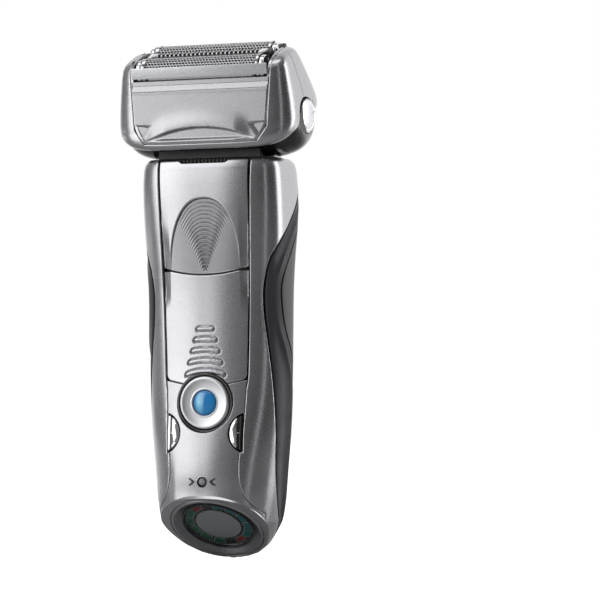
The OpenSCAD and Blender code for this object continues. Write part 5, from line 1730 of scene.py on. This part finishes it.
class SHAVER_OT_stage(ShaverStep, bpy.types.Operator):
    """Camera, lamps, floor and background"""
    bl_idname = "shaver.stage"
    bl_label = "Stage"

    def execute(self, context):
        sizes = context.scene.shaver_stage
        scene = context.scene
        scene.view_settings.view_transform = "Standard"
        ahead = Vector((-math.sin(sizes.azimuth), math.cos(sizes.azimuth), 0.0))
        self.camera(scene, sizes, ahead)
        self.room(scene, sizes, ahead)
        self.lamps(scene, sizes, ahead)
        self.floor(ahead)
        return {"FINISHED"}

    @staticmethod
    def camera(scene, sizes, ahead):
        data = bpy.data.cameras.new("camera")
        data.lens, data.sensor_width = sizes.lens, 36.0
        data.clip_start = 0.01
        camera = bpy.data.objects.new("camera", data)
        place = Vector((0, 0, sizes.height)) - ahead * sizes.distance
        turn = (Matrix.Rotation(sizes.azimuth - sizes.pan, 4, "Z")
                @ Matrix.Rotation(math.pi / 2 - sizes.tilt, 4, "X") @ Matrix.Rotation(-sizes.roll, 4, "Z"))
        camera.matrix_world = Matrix.Translation(place) @ turn
        scene.collection.objects.link(camera)
        scene.camera = camera

    @staticmethod
    def room(scene, sizes, ahead):
        """White where it is seen directly, a soft dim room in every reflection."""
        world = bpy.data.worlds.new("room")
        world.use_nodes = True
        nodes = Nodes(world.node_tree)
        direction = nodes.add("ShaderNodeTexCoord").outputs["Generated"]
        right = (ahead.y, -ahead.x, 0.0)
        sideways = nodes.add("ShaderNodeVectorMath", {0: direction, 1: right},
                             operation="DOT_PRODUCT").outputs["Value"]
        behind = nodes.add("ShaderNodeVectorMath", {0: direction, 1: tuple(ahead)},
                           operation="DOT_PRODUCT").outputs["Value"]
        height = nodes.add("ShaderNodeSeparateXYZ", {0: direction}).outputs["Z"]
        left = nodes.spread(sideways, sizes.room * 2.0, sizes.room * 0.45, -0.75, 0.25)
        around = nodes.math("ADD", behind, nodes.math("MULTIPLY", sideways, 0.4))
        far_side = nodes.spread(around, 0.0, 1.0, 0.3, 0.8)
        overhead = nodes.spread(height, 0.0, sizes.room, 0.2, 0.9)
        lit = nodes.math("ADD", nodes.math("ADD", left, far_side), overhead)
        shown = nodes.math("MINIMUM", lit, 1.0)
        path = nodes.add("ShaderNodeLightPath").outputs
        mirror = path["Is Glossy Ray"]
        soft = nodes.math("ADD", sizes.room, nodes.math("MULTIPLY", mirror,
                                                        nodes.math("SUBTRACT", shown, sizes.room)))
        seen = nodes.math("MAXIMUM", path["Is Camera Ray"], path["Is Transmission Ray"])
        strength = nodes.math("MAXIMUM", soft, seen)
        back = nodes.add("ShaderNodeBackground", {"Color": (1.0, 1.0, 1.0), "Strength": strength})
        nodes.add("ShaderNodeOutputWorld", {"Surface": back.outputs[0]})
        scene.world = world

    @staticmethod
    def lamps(scene, sizes, ahead):
        right = Vector((ahead.y, -ahead.x, 0.0))
        middle = Vector((0, 0, 0.09))
        up = Vector((0, 0, 1))
        # name, sideways, towards the camera, up, width, height, power
        rows = (("key_lamp", -0.78, 0.39, 0.26, 0.66, 1.10, sizes.key_power),
                ("side_lamp", 0.66, -0.08, 0.06, 0.26, 0.80, sizes.side_power),
                ("strip_lamp", 0.34, 0.72, 0.04, 0.07, 0.90, sizes.strip_power),
                ("top_lamp", -0.10, 0.20, 0.85, 0.80, 0.50, sizes.top_power))
        for name, side, near, rise, width, tall, power in rows:
            data = bpy.data.lights.new(name, "AREA")
            data.shape, data.size, data.size_y, data.energy = "RECTANGLE", width, tall, power
            lamp = bpy.data.objects.new(name, data)
            place = middle + right * side - ahead * near + up * rise
            aim = (middle - place).to_track_quat("-Z", "Y").to_matrix().to_4x4()
            lamp.matrix_world = Matrix.Translation(place) @ aim
            lamp.visible_camera = False
            scene.collection.objects.link(lamp)

    @staticmethod
    def floor(ahead):
        mesh = bpy.data.meshes.new("floor")
        corners = [(x, y, -0.0002) for x, y in ((-4, -4), (4, -4), (4, 4), (-4, 4))]
        mesh.from_pydata(corners, [], [(0, 1, 2, 3)])
        material = bpy.data.materials.new("white_floor")
        material.use_nodes = True
        nodes = Nodes(material.node_tree)
        path = nodes.add("ShaderNodeLightPath").outputs
        beyond = nodes.add("ShaderNodeVectorMath", {0: nodes.place(), 1: tuple(ahead)},
                           operation="DOT_PRODUCT").outputs["Value"]
        mirrored = nodes.math("MULTIPLY", path["Is Glossy Ray"], nodes.spread(beyond, 0.0, 1.0, 0.1, 0.6))
        seen = nodes.math("MAXIMUM", nodes.math("MAXIMUM", path["Is Camera Ray"], mirrored),
                          path["Is Transmission Ray"])
        cloud = nodes.spread(nodes.noise(3.0), 0.54, 0.56)
        paint = nodes.add("ShaderNodeBsdfPrincipled", {
            "Base Color": nodes.add("ShaderNodeCombineColor", {0: cloud, 1: cloud, 2: cloud}).outputs[0],
            "Roughness": nodes.spread(nodes.noise(40.0), 0.26, 0.3), "Specular IOR Level": 0.3})
        glow = nodes.add("ShaderNodeEmission", {"Color": (1.0, 1.0, 1.0),
                                                "Strength": nodes.math("MULTIPLY", seen, 0.86)})
        lit = nodes.add("ShaderNodeAddShader", {0: paint.outputs[0], 1: glow.outputs[0]})
        nodes.add("ShaderNodeOutputMaterial", {"Surface": lit.outputs[0]})
        mesh.materials.append(material)
        floor = bpy.data.objects.new("floor", mesh)
        bpy.context.scene.collection.objects.link(floor)


# ---------- Panel and main ----------


STEPS = (
    SHAVER_OT_stage, SHAVER_OT_front_shell, SHAVER_OT_back_shell, SHAVER_OT_grips, SHAVER_OT_control_panel,
    SHAVER_OT_buttons, SHAVER_OT_display, SHAVER_OT_trimmer, SHAVER_OT_head_lock, SHAVER_OT_head_frame,
    SHAVER_OT_head_pan, SHAVER_OT_release_buttons, SHAVER_OT_cassette, SHAVER_OT_foils,
    SHAVER_OT_plain_pieces,
)
SETTINGS = (
    ("shaver_handle", HandleSizes), ("shaver_controls", ControlSizes), ("shaver_display", DisplaySizes),
    ("shaver_trimmer", TrimmerSizes), ("shaver_head", HeadSizes), ("shaver_colours", FinishColours),
    ("shaver_stage", StageSizes),
)


class SHAVER_PT_build(bpy.types.Panel):
    """Steps and settings of the foil shaver"""
    bl_idname = "SHAVER_PT_build"
    bl_label = "Foil Shaver"
    bl_space_type = "VIEW_3D"
    bl_region_type = "UI"
    bl_category = "Shaver"

    def draw(self, context):
        steps = self.layout.column(align=True)
        for step in STEPS:
            steps.operator(step.bl_idname)
        for name, kind in SETTINGS:
            box = self.layout.box()
            box.label(text=kind.__doc__)
            for key in kind.__annotations__:
                box.prop(getattr(context.scene, name), key)


def register():
    for name, kind in SETTINGS:
        bpy.utils.register_class(kind)
        setattr(bpy.types.Scene, name, bpy.props.PointerProperty(type=kind))
    for kind in (*STEPS, SHAVER_PT_build):
        bpy.utils.register_class(kind)


def unregister():
    for kind in (SHAVER_PT_build, *reversed(STEPS)):
        bpy.utils.unregister_class(kind)
    for name, kind in reversed(SETTINGS):
        delattr(bpy.types.Scene, name)
        bpy.utils.unregister_class(kind)


def main():
    register()
    for step in STEPS:
        getattr(bpy.ops.shaver, step.bl_idname.split(".")[1])()
    bpy.context.view_layer.update()


if __name__ == "__main__":
    main()
